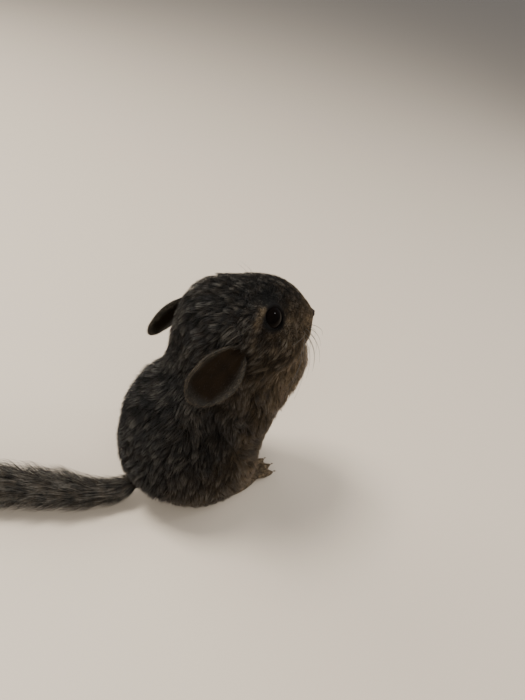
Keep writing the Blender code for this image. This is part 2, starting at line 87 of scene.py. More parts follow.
camera = bpy.data.objects.new("camera", bpy.data.cameras.new("camera"))
camera.location = Vector(CAMERA_PLACE) * MM
camera.rotation_euler = [math.radians(angle) for angle in CAMERA_TURN]
camera.data.lens = CAMERA_LENS
camera.data.clip_start = 0.01
bpy.context.scene.collection.objects.link(camera)
bpy.context.scene.camera = camera
print("camera is", round(camera.location.length * 1000), "mm from the seat")


# %% Floor
def new_object(name, mesh, looks=()):
    """Puts a mesh in the scene as an object with these materials."""
    obj = bpy.data.objects.new(name, mesh)
    bpy.context.scene.collection.objects.link(obj)
    for look in looks:
        mesh.materials.append(look)
    return obj


def mesh_from(shape, name):
    """Turns a bmesh into a mesh."""
    mesh = bpy.data.meshes.new(name)
    shape.to_mesh(mesh)
    shape.free()
    return mesh


def plain_material(name, colour, roughness):
    """A Principled material with one colour, to be refined with nodes. Returns it and its shader."""
    made = bpy.data.materials.new(name)
    made.use_nodes = True
    shader = made.node_tree.nodes["Principled BSDF"]
    shader.inputs["Base Color"].default_value = (*colour, 1)
    shader.inputs["Roughness"].default_value = roughness
    return made, shader


FLOOR_SIZE = 40000
FLOOR_COLOUR = (0.47, 0.4, 0.315)
FLOOR_ROUGHNESS = 0.6

floor_shape = bmesh.new()
bmesh.ops.create_grid(floor_shape, x_segments=1, y_segments=1, size=FLOOR_SIZE / 2 * MM)
floor_look, _ = plain_material("pale floor", FLOOR_COLOUR, FLOOR_ROUGHNESS)
floor = new_object("floor", mesh_from(floor_shape, "floor"), [floor_look])
floor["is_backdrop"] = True


# %% Lights
LIGHTS_AIM = Vector((0, 0, 60))
SKY_COLOUR = (0.9, 0.93, 1, 1)
SKY_STRENGTH = 0.35


def area_light(name, place, size, power, colour=(1, 1, 1), mirrored=False):
    """A soft square light that looks at the animal. Only a mirrored one shows in the eyes."""
    lamp = bpy.data.objects.new(name, bpy.data.lights.new(name, "AREA"))
    lamp.data.size = size * MM
    lamp.data.energy = power
    lamp.data.color = colour
    lamp.visible_glossy = mirrored
    lamp.location = Vector(place) * MM
    lamp.rotation_euler = (LIGHTS_AIM - Vector(place)).to_track_quat("-Z", "Y").to_euler()
    bpy.context.scene.collection.objects.link(lamp)


# The shadows in the photograph fall softly to the lower right, so the main light stands behind on the left.
area_light("key light", (-270, 300, 850), 260, 13, (1, 0.96, 0.9), mirrored=True)
area_light("light behind", (-300, 700, 450), 600, 5, (1, 0.98, 0.95))
area_light("light beside the camera", (-300, -550, 500), 900, 6, (1, 0.97, 0.93))
area_light("light on the right", (700, -100, 500), 700, 4, (0.97, 0.98, 1))
area_light("spark in the eye", (420, -184, 525), 45, 0.6, mirrored=True)

world = bpy.data.worlds.new("studio")
bpy.context.scene.world = world
world.use_nodes = True
sky = world.node_tree.nodes["Background"]
sky.inputs["Color"].default_value = SKY_COLOUR
sky.inputs["Strength"].default_value = SKY_STRENGTH

# %% [markdown]
# ## The groomer's chart
#
# Fur is not the same all over. On the nose it is a millimetre deep and lies flat, on the chest it is long and
# fluffy. A chart of named places says, for each, which way the hair lies, how deep the coat is, how long a
# tuft is, how wide it is, how strongly tufts gather into locks, and by how many degrees one lock curls away
# from the next. Anywhere between the places the values are blended by distance, so one short table grooms the
# whole animal. Rows with a side are used on the left and mirrored to the right.

# %% The chart
CHART = [
    # place, lie, depth, length, width, lock, curl
    ((53, 0, 112), (-0.7, 0, 0.7), 0.4, 1.6, 0.25, 0.0, 8),
    ((38, 0, 124), (-0.9, 0, 0.4), 1.2, 2.6, 0.34, 0.1, 10),
    ((18, 0, 131), (-1, 0, 0), 2.4, 3.2, 0.42, 0.08, 8),
    ((-10, 0, 120), (-0.7, 0, -0.7), 3.2, 3.8, 0.46, 0.12, 10),
    ((50, 9, 104), (-0.8, 0.3, -0.3), 0.5, 1.8, 0.25, 0.0, 8),
    ((46, 5, 97), (-0.6, 0.2, -0.8), 0.3, 1.0, 0.22, 0.0, 8),
    ((38, 14, 116), (-0.9, 0.1, -0.1), 0.9, 2.4, 0.29, 0.05, 10),
    ((30, 20, 104), (-0.8, 0.2, -0.5), 1.6, 3.6, 0.38, 0.2, 16),
    ((15, 24, 98), (-0.7, 0, -0.7), 2.8, 5.5, 0.5, 0.45, 24),
    ((5, 23, 118), (-0.9, 0, -0.4), 2.4, 3.5, 0.42, 0.12, 9),
    ((-8, 22, 100), (-0.6, 0, -0.8), 3.0, 4.2, 0.46, 0.2, 12),
    ((46, 0, 92), (-0.3, 0, -1), 1.0, 2.4, 0.32, 0.1, 10),
    ((61, 0, 82), (-0.2, 0, -1), 3.2, 6.5, 0.56, 0.55, 30),
    ((59, 0, 68), (-0.2, 0, -1), 4.5, 7.5, 0.62, 0.6, 34),
    ((45, 18, 76), (-0.4, 0.2, -0.9), 4.2, 7.5, 0.6, 0.6, 34),
    ((20, 25, 78), (-0.5, 0.2, -0.85), 3.8, 5.2, 0.54, 0.35, 20),
    ((-20, 0, 88), (-0.5, 0, -0.85), 3.8, 3.8, 0.5, 0.1, 8),
    ((-34, 0, 62), (-0.25, 0, -1), 4.0, 3.8, 0.52, 0.1, 8),
    ((-5, 32, 55), (-0.4, 0.1, -0.9), 4.0, 4.2, 0.54, 0.14, 9),
    ((-32, 0, 25), (-0.5, 0, -0.85), 4.0, 4.2, 0.54, 0.14, 9),
    ((30, 25, 58), (0.2, 0, -1), 3.0, 6.0, 0.54, 0.5, 30),
    ((44, 11, 52), (0.7, -0.2, -0.6), 1.2, 2.6, 0.34, 0.1, 10),
    ((44, 0, 40), (-0.3, 0, -0.95), 4.0, 6.5, 0.58, 0.55, 30),
    ((10, 33, 28), (-0.1, 0.1, -1), 3.4, 4.4, 0.52, 0.2, 12),
    ((32, 22, 14), (0.5, 0, -0.85), 1.8, 3.6, 0.42, 0.2, 14),
    ((18, 22, 4), (0.9, 0, -0.4), 0.6, 2.0, 0.3, 0.0, 8),
    ((40, 18, 6), (1, 0, -0.15), 0.35, 1.3, 0.21, 0.0, 6),
    ((50, 7, 47), (0.7, 0, -0.7), 0.3, 1.1, 0.18, 0.0, 6),
]
CHART_REACH = 11.0
TINY = 1e-9
CHUNK = 50000


def both_sides(rows):
    """The rows of a table, with each row that is off the middle also mirrored to the right."""
    flip = np.array((1, -1, 1))
    left = [tuple(np.array(cell, float) for cell in row) for row in rows]
    right = [(row[0] * flip, row[1] * flip, *row[2:]) for row in left if row[0][1] != 0]
    return left + right


CHART_ROWS = both_sides(CHART)
CHART_PLACES = np.array([row[0] for row in CHART_ROWS])
CHART_LIES = np.array([row[1] / np.linalg.norm(row[1]) for row in CHART_ROWS])
CHART_SIZES = np.array([[float(cell) for cell in row[2:]] for row in CHART_ROWS])


def blend_by_distance(points, places, values, reach):
    """Values at points, each a mean of the values at the places, the near ones counting most."""
    made = np.empty((len(points), values.shape[1]))
    for start in range(0, len(points), CHUNK):
        part = slice(start, start + CHUNK)
        gaps = ((points[part, None, :] - places[None]) ** 2).sum(axis=2)
        weights = np.exp(-(gaps - gaps.min(axis=1, keepdims=True)) / (2 * reach**2))
        made[part] = weights @ values / weights.sum(axis=1, keepdims=True)
    return made


def unit(vectors):
    """Vectors with a length of one."""
    return vectors / np.maximum(np.linalg.norm(vectors, axis=-1, keepdims=True), TINY)


print(len(CHART_ROWS), "places in the groomer's chart")

# %% [markdown]
# ## Places on the head
#
# The head is tilted to the animal's right. The two eyes of the solid model give that tilt, and with it a
# frame of the head's own, in which ears, lids, nose and whiskers are placed.

# %% The head's frame
EYE_IN_HEAD = (-0.8, 14.3, 4.4)


def middle_of(node):
    """The middle of a solid node's box, in millimetres."""
    low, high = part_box(node)
    return (low + high) / 2 / MM


EYES = {word: middle_of("eye_" + word) for word in SIDES}
EYE_RADIUS = (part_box("eye_left")[1].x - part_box("eye_left")[0].x) / 2 / MM
eye_line = EYES["left"] - EYES["right"]
HEAD_TURN = Matrix.Rotation(math.atan2(eye_line.z, eye_line.y), 4, "X")
head_origin = (EYES["left"] + EYES["right"]) / 2 - HEAD_TURN @ Vector((EYE_IN_HEAD[0], 0, EYE_IN_HEAD[2]))
HEAD_FRAME = Matrix.Translation(head_origin) @ HEAD_TURN


def on_side(vector, side):
    """A vector for the left, or its mirror image for the right."""
    x, y, z = vector
    return Vector((x, side * y, z))


def from_head(point, side=1):
    """A place in the head's frame, on the left or mirrored to the right, as a place in the model."""
    return HEAD_FRAME @ on_side(point, side)


tilt = math.degrees(HEAD_TURN.to_euler().x)
print("head tilt:", round(tilt, 1), "degrees; eye radius", round(EYE_RADIUS, 2))

# %% [markdown]
# ## The skin
#
# One skin lies under the whole coat, so that no seam of the solid nodes shows. The nodes are joined, swollen
# a little so that the thin gaps between them close, and made into one even mesh with a voxel remesh. Then
# every point moves inwards by the depth of the coat at its place.

# %% Join the nodes of flesh
FLESH = ["head", "neck", "torso"] + [
    limb + word for limb in ("foreleg_", "hindleg_", "forepaw_", "hindfoot_") for word in SIDES
]
SWELL = 0.35
VOXEL = 0.75
WELD = 0.001


def mesh_of_nodes(names, swell):
    """One mesh from copies of solid nodes, each swollen a little along its normals."""
    together = bmesh.new()
    for name in names:
        shape = bmesh.new()
        shape.from_mesh(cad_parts[name].data)
        bmesh.ops.remove_doubles(shape, verts=shape.verts, dist=WELD * MM)
        shape.normal_update()
        for point in shape.verts:
            point.co += point.normal * swell * MM
        mesh = mesh_from(shape, "copy")
        together.from_mesh(mesh)
        bpy.data.meshes.remove(mesh)
    return mesh_from(together, "flesh")


def apply_modifiers(obj):
    """Puts the evaluated shape into the object's mesh."""
    graph = bpy.context.evaluated_depsgraph_get()
    mesh = bpy.data.meshes.new_from_object(obj.evaluated_get(graph))
    obj.modifiers.clear()
    old = obj.data
    obj.data = mesh
    bpy.data.meshes.remove(old)


def soften(obj, times):
    """Adds a modifier that smooths the surface a number of times."""
    smooth = obj.modifiers.new("soften", "SMOOTH")
    smooth.factor = 0.5
    smooth.iterations = times


def read_points(mesh):
    """The places of a mesh's points in millimetres, as an array."""
    places = np.empty(len(mesh.vertices) * 3, np.float32)
    mesh.vertices.foreach_get("co", places)
    return places.reshape(-1, 3).astype(float) / MM


def write_points(mesh, places):
    """Moves a mesh's points to these places in millimetres."""
    mesh.vertices.foreach_set("co", (places * MM).astype(np.float32).ravel())
    mesh.update()


def read_normals(mesh):
    """The normals at a mesh's points."""
    normals = np.empty(len(mesh.vertices) * 3, np.float32)
    mesh.vertex_normals.foreach_get("vector", normals)
    return normals.reshape(-1, 3).astype(float)


skin = new_object("skin", mesh_of_nodes(FLESH, SWELL))
remesh = skin.modifiers.new("even mesh", "REMESH")
remesh.mode = "VOXEL"
remesh.voxel_size = VOXEL * MM
soften(skin, 6)
apply_modifiers(skin)
print("skin:", len(skin.data.vertices), "points")

# %% [markdown]
# How deep the skin lies comes from the chart, but round the eyes, at the nose and along the soles it comes up
# to the surface, because those places are bare.

# %% Sink the skin under the coat
NOSE = middle_of("nose")
# The coat's least share at a bare place, and the distances between which it grows to the whole.
BARE_EYE = (0.06, EYE_RADIUS + 1.2, EYE_RADIUS + 7)
BARE_NOSE = (0, 2.5, 8)
BARE_SOLE = (0.2, 0.5, 9)
SHORTEST_SHARE = 0.35
THINNEST_SHARE = 0.6


def ease(value, low, high):
    """0 below low, 1 above high and a smooth step between them."""
    share = np.clip((value - low) / (high - low), 0, 1)
    return share * share * (3 - 2 * share)


def away_from(points, place):
    """How far points are from a place."""
    return np.linalg.norm(points - np.array(place), axis=1)


def grown(distance, least, low, high):
    """The coat's share at a distance from a bare place."""
    return least + (1 - least) * ease(distance, low, high)


def bare_share(points):
    """Near 0 on a bare place and 1 where the coat has its whole depth."""
    made = np.ones(len(points))
    for eye in EYES.values():
        made *= grown(away_from(points, eye), *BARE_EYE)
    made *= grown(away_from(points, NOSE), *BARE_NOSE)
    made *= grown(points[:, 2], *BARE_SOLE)
    return made


def groom(points):
    """Lie, depth, length, width, lock and curl of the coat at each point."""
    sizes = blend_by_distance(points, CHART_PLACES, CHART_SIZES, CHART_REACH)
    lies = blend_by_distance(points, CHART_PLACES, CHART_LIES, CHART_REACH)
    depth, length, width, lock, curl = sizes.T
    bare = bare_share(points)
    length = length * (SHORTEST_SHARE + (1 - SHORTEST_SHARE) * bare)
    width = width * (THINNEST_SHARE + (1 - THINNEST_SHARE) * bare)
    return unit(lies), depth * bare, length, width, lock, curl


outside = read_points(skin.data)
_, depth, *_ = groom(outside)
write_points(skin.data, outside - read_normals(skin.data) * (depth + SWELL)[:, None])
soften(skin, 4)
apply_modifiers(skin)
skin.data.shade_smooth()
print("coat depth, mm:", round(depth.min(), 2), "to", round(depth.max(), 2))

# %% [markdown]
# The coat parts along a few folds: over the nape, before the ear, round the whisker pads, and at the mouth,
# whose line runs down from the nose and back along the lips. Each fold is a line of places in the head's
# frame, with its radius and depth. The skin is pressed in along it.

# %% Press the folds in
FOLDS = [
    # line, radius, depth, whether both sides have it
    ([(-38.3, 6.7, -16.3), (-38.1, -2.4, -18.9), (-35.9, -7.7, -25.2), (-32, -14, -31)], 2.2, 1.6, False),
    ([(-19, 23, -3), (-15.5, 23.5, -10), (-14.5, 22.5, -22)], 2.2, 1.7, True),
    ([(-29.2, 17.2, -4.3), (-24, 21.5, -2.5), (-18.5, 24, -2.5)], 2.2, 1.5, True),
    ([(15, 15, -2), (14, 19.5, -9), (13, 17, -17)], 2.0, 1.0, True),
    ([(33.5, 0, -8.6), (31.5, 0, -14.5)], 0.9, 0.9, True),
    ([(31.5, 0, -14.5), (27.5, 5, -17), (20, 8.5, -16.6)], 1.0, 1.0, True),
]


def in_head_frame(points):
    """Places of the model as places in the head's frame."""
    back = np.array(HEAD_FRAME.inverted())
    return points @ back[:3, :3].T + back[:3, 3]


def distance_to_line(points, line):
    """How far each point is from a line through a few places."""
    nearest = np.full(len(points), np.inf)
    for start, end in zip(line, line[1:]):
        start, run = np.array(start, float), np.array(end, float) - start
        share = np.clip((points - start) @ run / max(run @ run, TINY), 0, 1)
        nearest = np.minimum(nearest, np.linalg.norm(points - start - share[:, None] * run, axis=1))
    return nearest


def near_line(local, line, radius, both):
    """1 on a line in the head's frame, falling to 0 at about twice its radius."""
    if both:
        local = local * (1, 0, 1) + np.abs(local) * (0, 1, 0)
    return np.exp(-((distance_to_line(local, line) / radius) ** 2))


sunk = read_points(skin.data)
local = in_head_frame(sunk)
press = sum(depth * near_line(local, line, radius, both) for line, radius, depth, both in FOLDS)
write_points(skin.data, sunk - read_normals(skin.data) * press[:, None])
print(len(FOLDS), "folds, the deepest", round(press.max(), 2), "mm")

# %% [markdown]
# ## Markings
#
# A standard grey chinchilla is charcoal on the back, warmer and browner on the flanks and cheeks, and pale on
# the throat, chest and belly. The hair round the eye is black. A second chart holds how pale, how warm and
# how dark the coat is at named places, and a list of streaks adds the fine marks of the face and a painted
# shade of black hair over the base of each ear. The skin and every tuft store these as a colour attribute, so
# both carry the same markings.

# %% The markings chart
MARKINGS = [
    # place, (pale, warm, dark)
    ((53, 0, 114), (0.25, 0.7, 0.05)),
    ((38, 0, 124), (0.0, 0.2, 0.4)),
    ((18, 0, 131), (0.0, 0.1, 0.25)),
    ((-10, 0, 120), (0.0, 0.05, 0.1)),
    ((52, 9, 104), (0.6, 0.9, 0.0)),
    ((40, 14, 112), (0.25, 0.7, 0.1)),
    ((30, 20, 104), (0.14, 0.6, 0.05)),
    ((34, 20, 92), (0.36, 0.45, 0.0)),
    ((15, 24, 98), (0.06, 0.6, 0.15)),
    ((5, 24, 118), (0.0, 0.2, 0.2)),
    ((-8, 22, 100), (0.0, 0.25, 0.1)),
    ((52, 0, 94), (0.6, 0.4, 0.0)),
    ((61, 0, 84), (0.7, 0.35, 0.0)),
    ((58, 0, 66), (0.85, 0.3, 0.0)),
    ((45, 18, 78), (0.36, 0.55, 0.0)),
    ((20, 26, 82), (0.16, 0.6, 0.1)),
    ((6, 26, 68), (0.0, 0.35, 0.45)),
    ((-20, 0, 88), (0.0, 0.05, 0.35)),
    ((-34, 0, 62), (0.0, 0.05, 0.45)),
    ((-5, 32, 55), (0.0, 0.25, 0.5)),
    ((-32, 0, 25), (0.0, 0.15, 0.45)),
    ((27, 27, 62), (0.2, 0.6, 0.05)),
    ((30, 27, 42), (0.25, 0.65, 0.0)),
    ((46, 12, 50), (0.45, 0.6, 0.0)),
    ((46, 0, 40), (0.9, 0.3, 0.0)),
    ((4, 33, 34), (0.05, 0.6, 0.2)),
    ((26, 30, 22), (0.42, 0.75, 0.0)),
    ((10, 33, 12), (0.15, 0.7, 0.1)),
    ((32, 22, 12), (0.45, 0.75, 0.0)),
    ((40, 18, 6), (0.5, 0.75, 0.0)),
    ((50, 7, 47), (0.5, 0.5, 0.0)),
]
MARKINGS_REACH = 9.0
EYE_PATCH = (0.5, 2.8)
PATCH_COOLS = 0.7

# The fine marks of the face, in the head's frame, with painted shade over the base of each ear.
STREAKS = [
    # line, radius, (pale, warm, dark), whether both sides have it
    # Painted shade: black hair in the hollow over each ear's base, where the head's fur overhangs the ear.
    ([(-29.2, 17.2, -4.3), (-24, 21.5, -2.5), (-18.5, 24, -2.5)], 2.6, (0.0, 0.0, 1.0), True),
    ([(2.5, 11.5, 13), (-2, 13.5, 13)], 3.6, (0.0, 0.0, 1.0), True),
    ([(-5, 17.5, 10.5), (-8.5, 20.5, 7), (-10.5, 22.5, 2), (-10.5, 24, -6)], 1.9, (0.3, 0.65, 0.0), True),
    ([(-14.5, 23.1, -12.7), (-14.4, 22, -23)], 1.6, (0.5, 0.5, 0.0), True),
    ([(-2, 24, -7), (5, 23.6, -6.4)], 2.4, (0.3, 0.2, 0.0), True),
    ([(9.5, 17.3, 1.9), (13, 15.5, 0.5)], 2.2, (0.4, 0.2, 0.0), True),
    ([(8.7, 23.2, -6.6), (13.8, 22.3, -11.9)], 2.4, (0.25, 1.0, 0.0), True),
    ([(21, 12.5, -4), (26, 9, -4.5)], 2.6, (0.5, 0.9, 0.0), True),
    ([(20, 10, -20), (27, 5, -21), (29, 0, -21)], 3.0, (0.75, 0.25, 0.0), True),
    ([(33.5, 0, -8.6), (31.5, 0, -14.5)], 0.8, (0.0, 0.3, 0.9), True),
    ([(31.5, 0, -14.5), (27.5, 5, -17), (20, 8.5, -16.6)], 1.0, (0.0, 0.3, 1.0), True),
    ([(-38.3, 6.7, -16.3), (-38.1, -2.4, -18.9), (-35.9, -7.7, -25.2)], 1.0, (0.35, 0.1, 0.0), False),
]

mark_rows = both_sides([(place, (0, 0, 0), *mark) for place, mark in MARKINGS])
MARK_PLACES = np.array([row[0] for row in mark_rows])
MARK_VALUES = np.array([[float(cell) for cell in row[2:]] for row in mark_rows])


def markings(points):
    """How pale, warm and dark the coat is at each point, with a black patch round each eye."""
    made = blend_by_distance(points, MARK_PLACES, MARK_VALUES, MARKINGS_REACH)
    for eye in EYES.values():
        near = 1 - ease(away_from(points, eye), *(EYE_RADIUS + width for width in EYE_PATCH))
        made[:, 0] *= 1 - near
        made[:, 1] *= 1 - PATCH_COOLS * near
        made[:, 2] = np.maximum(made[:, 2], near)
    local = in_head_frame(points)
    for line, radius, mark, both in STREAKS:
        near = near_line(local, line, radius, both)[:, None]
        made += (np.array(mark) - made) * near
    return made


def store_colour(mesh, name, values):
    """Stores up to three numbers for each point as a colour attribute that a material can read."""
    filled = np.ones((len(values), 4), np.float32)
    filled[:, : values.shape[1]] = values
    layer = mesh.attributes.new(name, "FLOAT_COLOR", "POINT")
    layer.data.foreach_set("color", filled.ravel())


store_colour(skin.data, "markings", markings(read_points(skin.data)))


# %% [markdown]
# ## Materials of skin and hair
#
# Skin and hair share their colours, so those are a shader node group: it mixes charcoal, brown and cream by
# the markings, breaks them up with noise, and darkens hair towards its root. The fine nap of bare skin is a
# second group. The Principled shaders and the bump stay in the materials.

# %% Helpers for node trees
def add_node(tree, kind, values=(), **settings):
    """A node with settings, and with values on its named inputs."""
    made = tree.nodes.new(kind)
    for name, value in settings.items():
        setattr(made, name, value)
    for name, value in dict(values).items():
        made.inputs[name].default_value = value
    return made


def new_group(name, inputs, outputs):
    """A shader node group with named sockets. Returns the tree and its input and output nodes."""
    tree = bpy.data.node_groups.new(name, "ShaderNodeTree")
    for label, kind, value in inputs:
        socket = tree.interface.new_socket(label, in_out="INPUT", socket_type=kind)
        socket.default_value = value
    for label, kind in outputs:
        tree.interface.new_socket(label, in_out="OUTPUT", socket_type=kind)
    return tree, tree.nodes.new("NodeGroupInput"), tree.nodes.new("NodeGroupOutput")


def mix_colour(tree, factor, first, second, blend="MIX"):
    """A Mix node for colours. Each of the three is a socket or a value."""
    made = add_node(tree, "ShaderNodeMix", data_type="RGBA", blend_type=blend)
    for socket, value in ((made.inputs[0], factor), (made.inputs[6], first), (made.inputs[7], second)):
        if isinstance(value, bpy.types.NodeSocket):
            tree.links.new(value, socket)
        else:
            socket.default_value = (*value, 1) if isinstance(value, tuple) else value
    return made.outputs[2]


def math_node(tree, operation, first, second=0.0, third=0.0, clamp=False):
    """A Math node. Each input is a socket or a number."""
    made = add_node(tree, "ShaderNodeMath", operation=operation, use_clamp=clamp)
    for socket, value in zip(made.inputs, (first, second, third)):
        if isinstance(value, bpy.types.NodeSocket):
            tree.links.new(value, socket)
        else:
            socket.default_value = value
    return made.outputs[0]


def place_group(tree, group, values=()):
    """A node group placed in a material, with values on its inputs."""
    return add_node(tree, "ShaderNodeGroup", values, node_tree=group)


# %% The group of coat colours
CHARCOAL = (0.017, 0.0158, 0.014)
BROWN = (0.062, 0.037, 0.0145)
CREAM = (0.37, 0.265, 0.155)
BLACK_HAIR = (0.003, 0.0027, 0.0023)
FLECK = (0.12, 0.112, 0.096)
# How much the noise shifts the warm share, the pale share and the flecks.
PATCHY_WARMTH, PATCHY_PALENESS, PATCHY_FLECKS = 1.2, 1.0, 1.0
PALE_GAIN = 3.0
BLACKEST = 0.85
# Flecks start above this tone, grow by the gain, lie towards the tip, and are veiled where the coat is dark.
FLECK_START, FLECK_GAIN, FLECK_POWER, FLECK_VEIL = 0.5, 2.2, 1.6, -0.8
# How light a tuft is at its root, and how much lighter at its tip.
ROOT_LIGHT, TIP_LIGHTER = 0.2, 0.75
# How light a tuft with the darkest tone is, and how much lighter one with the lightest.
DARK_TONE, TONE_LIGHTER = 0.25, 1.5


def coat_colours():
    """The coat's colour by its markings, by how far along a tuft a point is, and by the tuft's tone."""
    tree, start, end = new_group(
        "coat colours",
        [
            ("Markings", "NodeSocketColor", (0, 0, 0, 1)),
            ("Reach", "NodeSocketFloat", 0.5),
            ("Tone", "NodeSocketFloat", 0.5),
            ("Patch Scale", "NodeSocketFloat", 260.0),
        ],
        [("Color", "NodeSocketColor")],
    )
    markings_in, reach, tone, patch_scale = list(start.outputs)[:4]
    marks = add_node(tree, "ShaderNodeSeparateColor")
    tree.links.new(markings_in, marks.inputs[0])
    pale, warm, dark = marks.outputs
    place = add_node(tree, "ShaderNodeTexCoord")
    noise = add_node(tree, "ShaderNodeTexNoise", {"Detail": 3.0, "Roughness": 0.6})
    tree.links.new(place.outputs["Object"], noise.inputs["Vector"])
    tree.links.new(patch_scale, noise.inputs["Scale"])
    patches = math_node(tree, "SUBTRACT", noise.outputs["Fac"], 0.5)
    warm_here = math_node(tree, "MULTIPLY_ADD", patches, PATCHY_WARMTH, warm, clamp=True)
    pale_here = math_node(tree, "MULTIPLY_ADD", patches, PATCHY_PALENESS, pale, clamp=True)
    pale_gate = math_node(tree, "MULTIPLY", pale, PALE_GAIN, clamp=True)
    pale_here = math_node(tree, "MULTIPLY", pale_here, pale_gate)
    colour = mix_colour(tree, warm_here, CHARCOAL, BROWN)
    colour = mix_colour(tree, pale_here, colour, CREAM)
    colour = mix_colour(tree, math_node(tree, "MULTIPLY", dark, BLACKEST), colour, BLACK_HAIR)
    # Some tufts open and show the light band below their tips.
    light = math_node(tree, "MULTIPLY_ADD", patches, PATCHY_FLECKS, tone)
    light = math_node(tree, "SUBTRACT", light, FLECK_START)
    light = math_node(tree, "MULTIPLY", light, FLECK_GAIN, clamp=True)
    light = math_node(tree, "MULTIPLY", light, math_node(tree, "POWER", reach, FLECK_POWER))
    veil = math_node(tree, "MULTIPLY_ADD", dark, FLECK_VEIL, 1.0)
    colour = mix_colour(tree, math_node(tree, "MULTIPLY", light, veil), colour, FLECK, "LIGHTEN")
    # Some clumps are darker than others, and every tuft is darkest at its root.
    shade = math_node(tree, "MULTIPLY_ADD", reach, TIP_LIGHTER, ROOT_LIGHT)
    shade = math_node(tree, "MULTIPLY", shade, math_node(tree, "MULTIPLY_ADD", tone, TONE_LIGHTER, DARK_TONE))
    tree.links.new(mix_colour(tree, 1.0, colour, shade, "MULTIPLY"), end.inputs["Color"])
    return tree


COAT_COLOURS = coat_colours()


# %% The group of fine nap
def fine_nap():
    """The height of a fine nap of short fluff, in the object's own space."""
    tree, start, end = new_group(
        "fine nap",
        [("Scale", "NodeSocketFloat", 2500.0), ("Detail", "NodeSocketFloat", 2.0)],
        [("Height", "NodeSocketFloat")],
    )
    place = add_node(tree, "ShaderNodeTexCoord")
    noise = add_node(tree, "ShaderNodeTexNoise")
    tree.links.new(place.outputs["Object"], noise.inputs["Vector"])
    for label in ("Scale", "Detail"):
        tree.links.new(start.outputs[label], noise.inputs[label])
    tree.links.new(noise.outputs["Fac"], end.inputs["Height"])
    return tree


FINE_NAP = fine_nap()
BUMP_STRENGTH = 0.5


def raise_surface(tree, shader, height, distance):
    """Bumps a shader's surface by a height, in metres at its most."""
    bump = add_node(tree, "ShaderNodeBump", {"Strength": BUMP_STRENGTH, "Distance": distance})
    tree.links.new(height, bump.inputs["Height"])
    tree.links.new(bump.outputs["Normal"], shader.inputs["Normal"])


def set_values(shader, values):
    """Sets a shader's named inputs."""
    for name, value in values.items():
        shader.inputs[name].default_value = value


# %% Hair
def hair_material():
    """Hair that takes its colours from the markings, with a soft sheen at the edges."""
    made, shader = plain_material("chinchilla hair", CHARCOAL, 0.7)
    tree = made.node_tree
    marks = add_node(tree, "ShaderNodeAttribute", attribute_name="markings")
    strand = add_node(tree, "ShaderNodeAttribute", attribute_name="strand")
    parts = add_node(tree, "ShaderNodeSeparateColor")
    colours = place_group(tree, COAT_COLOURS)
    tree.links.new(strand.outputs["Color"], parts.inputs[0])
    tree.links.new(marks.outputs["Color"], colours.inputs["Markings"])
    tree.links.new(parts.outputs[0], colours.inputs["Reach"])
    tree.links.new(parts.outputs[1], colours.inputs["Tone"])
    tree.links.new(colours.outputs["Color"], shader.inputs["Base Color"])
    set_values(shader, {"Specular IOR Level": 0.15, "Sheen Weight": 0.04, "Sheen Roughness": 0.45})
    return made


HAIR = hair_material()


# %% Skin
NAP_HEIGHT = 0.0003


def skin_material():
    """Matt skin and underfur in the coat's own colours, with a fine nap."""
    made, shader = plain_material("skin under the coat", CHARCOAL, 0.8)
    set_values(shader, {"Specular IOR Level": 0.1})
    tree = made.node_tree
    marks = add_node(tree, "ShaderNodeAttribute", attribute_name="markings")
    colours = place_group(tree, COAT_COLOURS, {"Reach": 0.2, "Tone": 0.3})
    tree.links.new(marks.outputs["Color"], colours.inputs["Markings"])
    tree.links.new(colours.outputs["Color"], shader.inputs["Base Color"])
    nap = place_group(tree, FINE_NAP, {"Scale": 2500.0, "Detail": 2.0})
    raise_surface(tree, shader, nap.outputs["Height"], NAP_HEIGHT)
    return made


SKIN_LOOK = skin_material()
skin.data.materials.append(SKIN_LOOK)
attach(skin, "root")
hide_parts(*FLESH)

# %% [markdown]
# ## Ears
#
# A chinchilla's ear is a large thin leaf, almost bare, cupped along its length. Here both are laid back along
# the neck. A fine grid is shaped into the leaf and given its thickness with Solidify.

# %% Ear leaves
EAR_LENGTH = 33.4
EAR_WIDTH = 21.7
EAR_THICKNESS = 0.7
EAR_LINES = {
    # where each ear starts and where it points to, in the head's frame
    "left": ((-15.1, 22.4, 2.4), (-34.6, 27.9, -16)),
    "right": ((-14.5, 22.5, -2.6), (-39.4, 24.9, -21)),
}
EAR_FACING = (-0.3, 1, 0.3)
EAR_GRID = (44, 48)
# The width at the base as a share of the whole, and the share of the length where the ear is widest.
EAR_NECK, EAR_WIDEST = 0.45, 0.55
# How deep the ear is cupped, how much less at its tip, and how far its rim stands forward of its line.
EAR_DEPTH, EAR_FLATTER, EAR_FORWARD = 3.4, 0.4, 1
# The rolled rim: where it starts, and its height.
RIM_START, RIM_HEIGHT = 0.88, 0.8
RIM_FADE = (0.62, 0.95)
WAVE_HEIGHT, FOLD_HEIGHT = 0.28, 0.5


def ear_frame(word):
    """The frame of one ear: across it, out of its hollow and along it, from its base."""
    side = SIDES[word]
    base, tip = (from_head(point, side) for point in EAR_LINES[word])
    along = (tip - base).normalized()
    outward = on_side(EAR_FACING, side)
    outward = (outward - along * outward.dot(along)).normalized()
    made = Matrix((outward.cross(along), outward, along)).transposed().to_4x4()
    made.translation = base
    return made


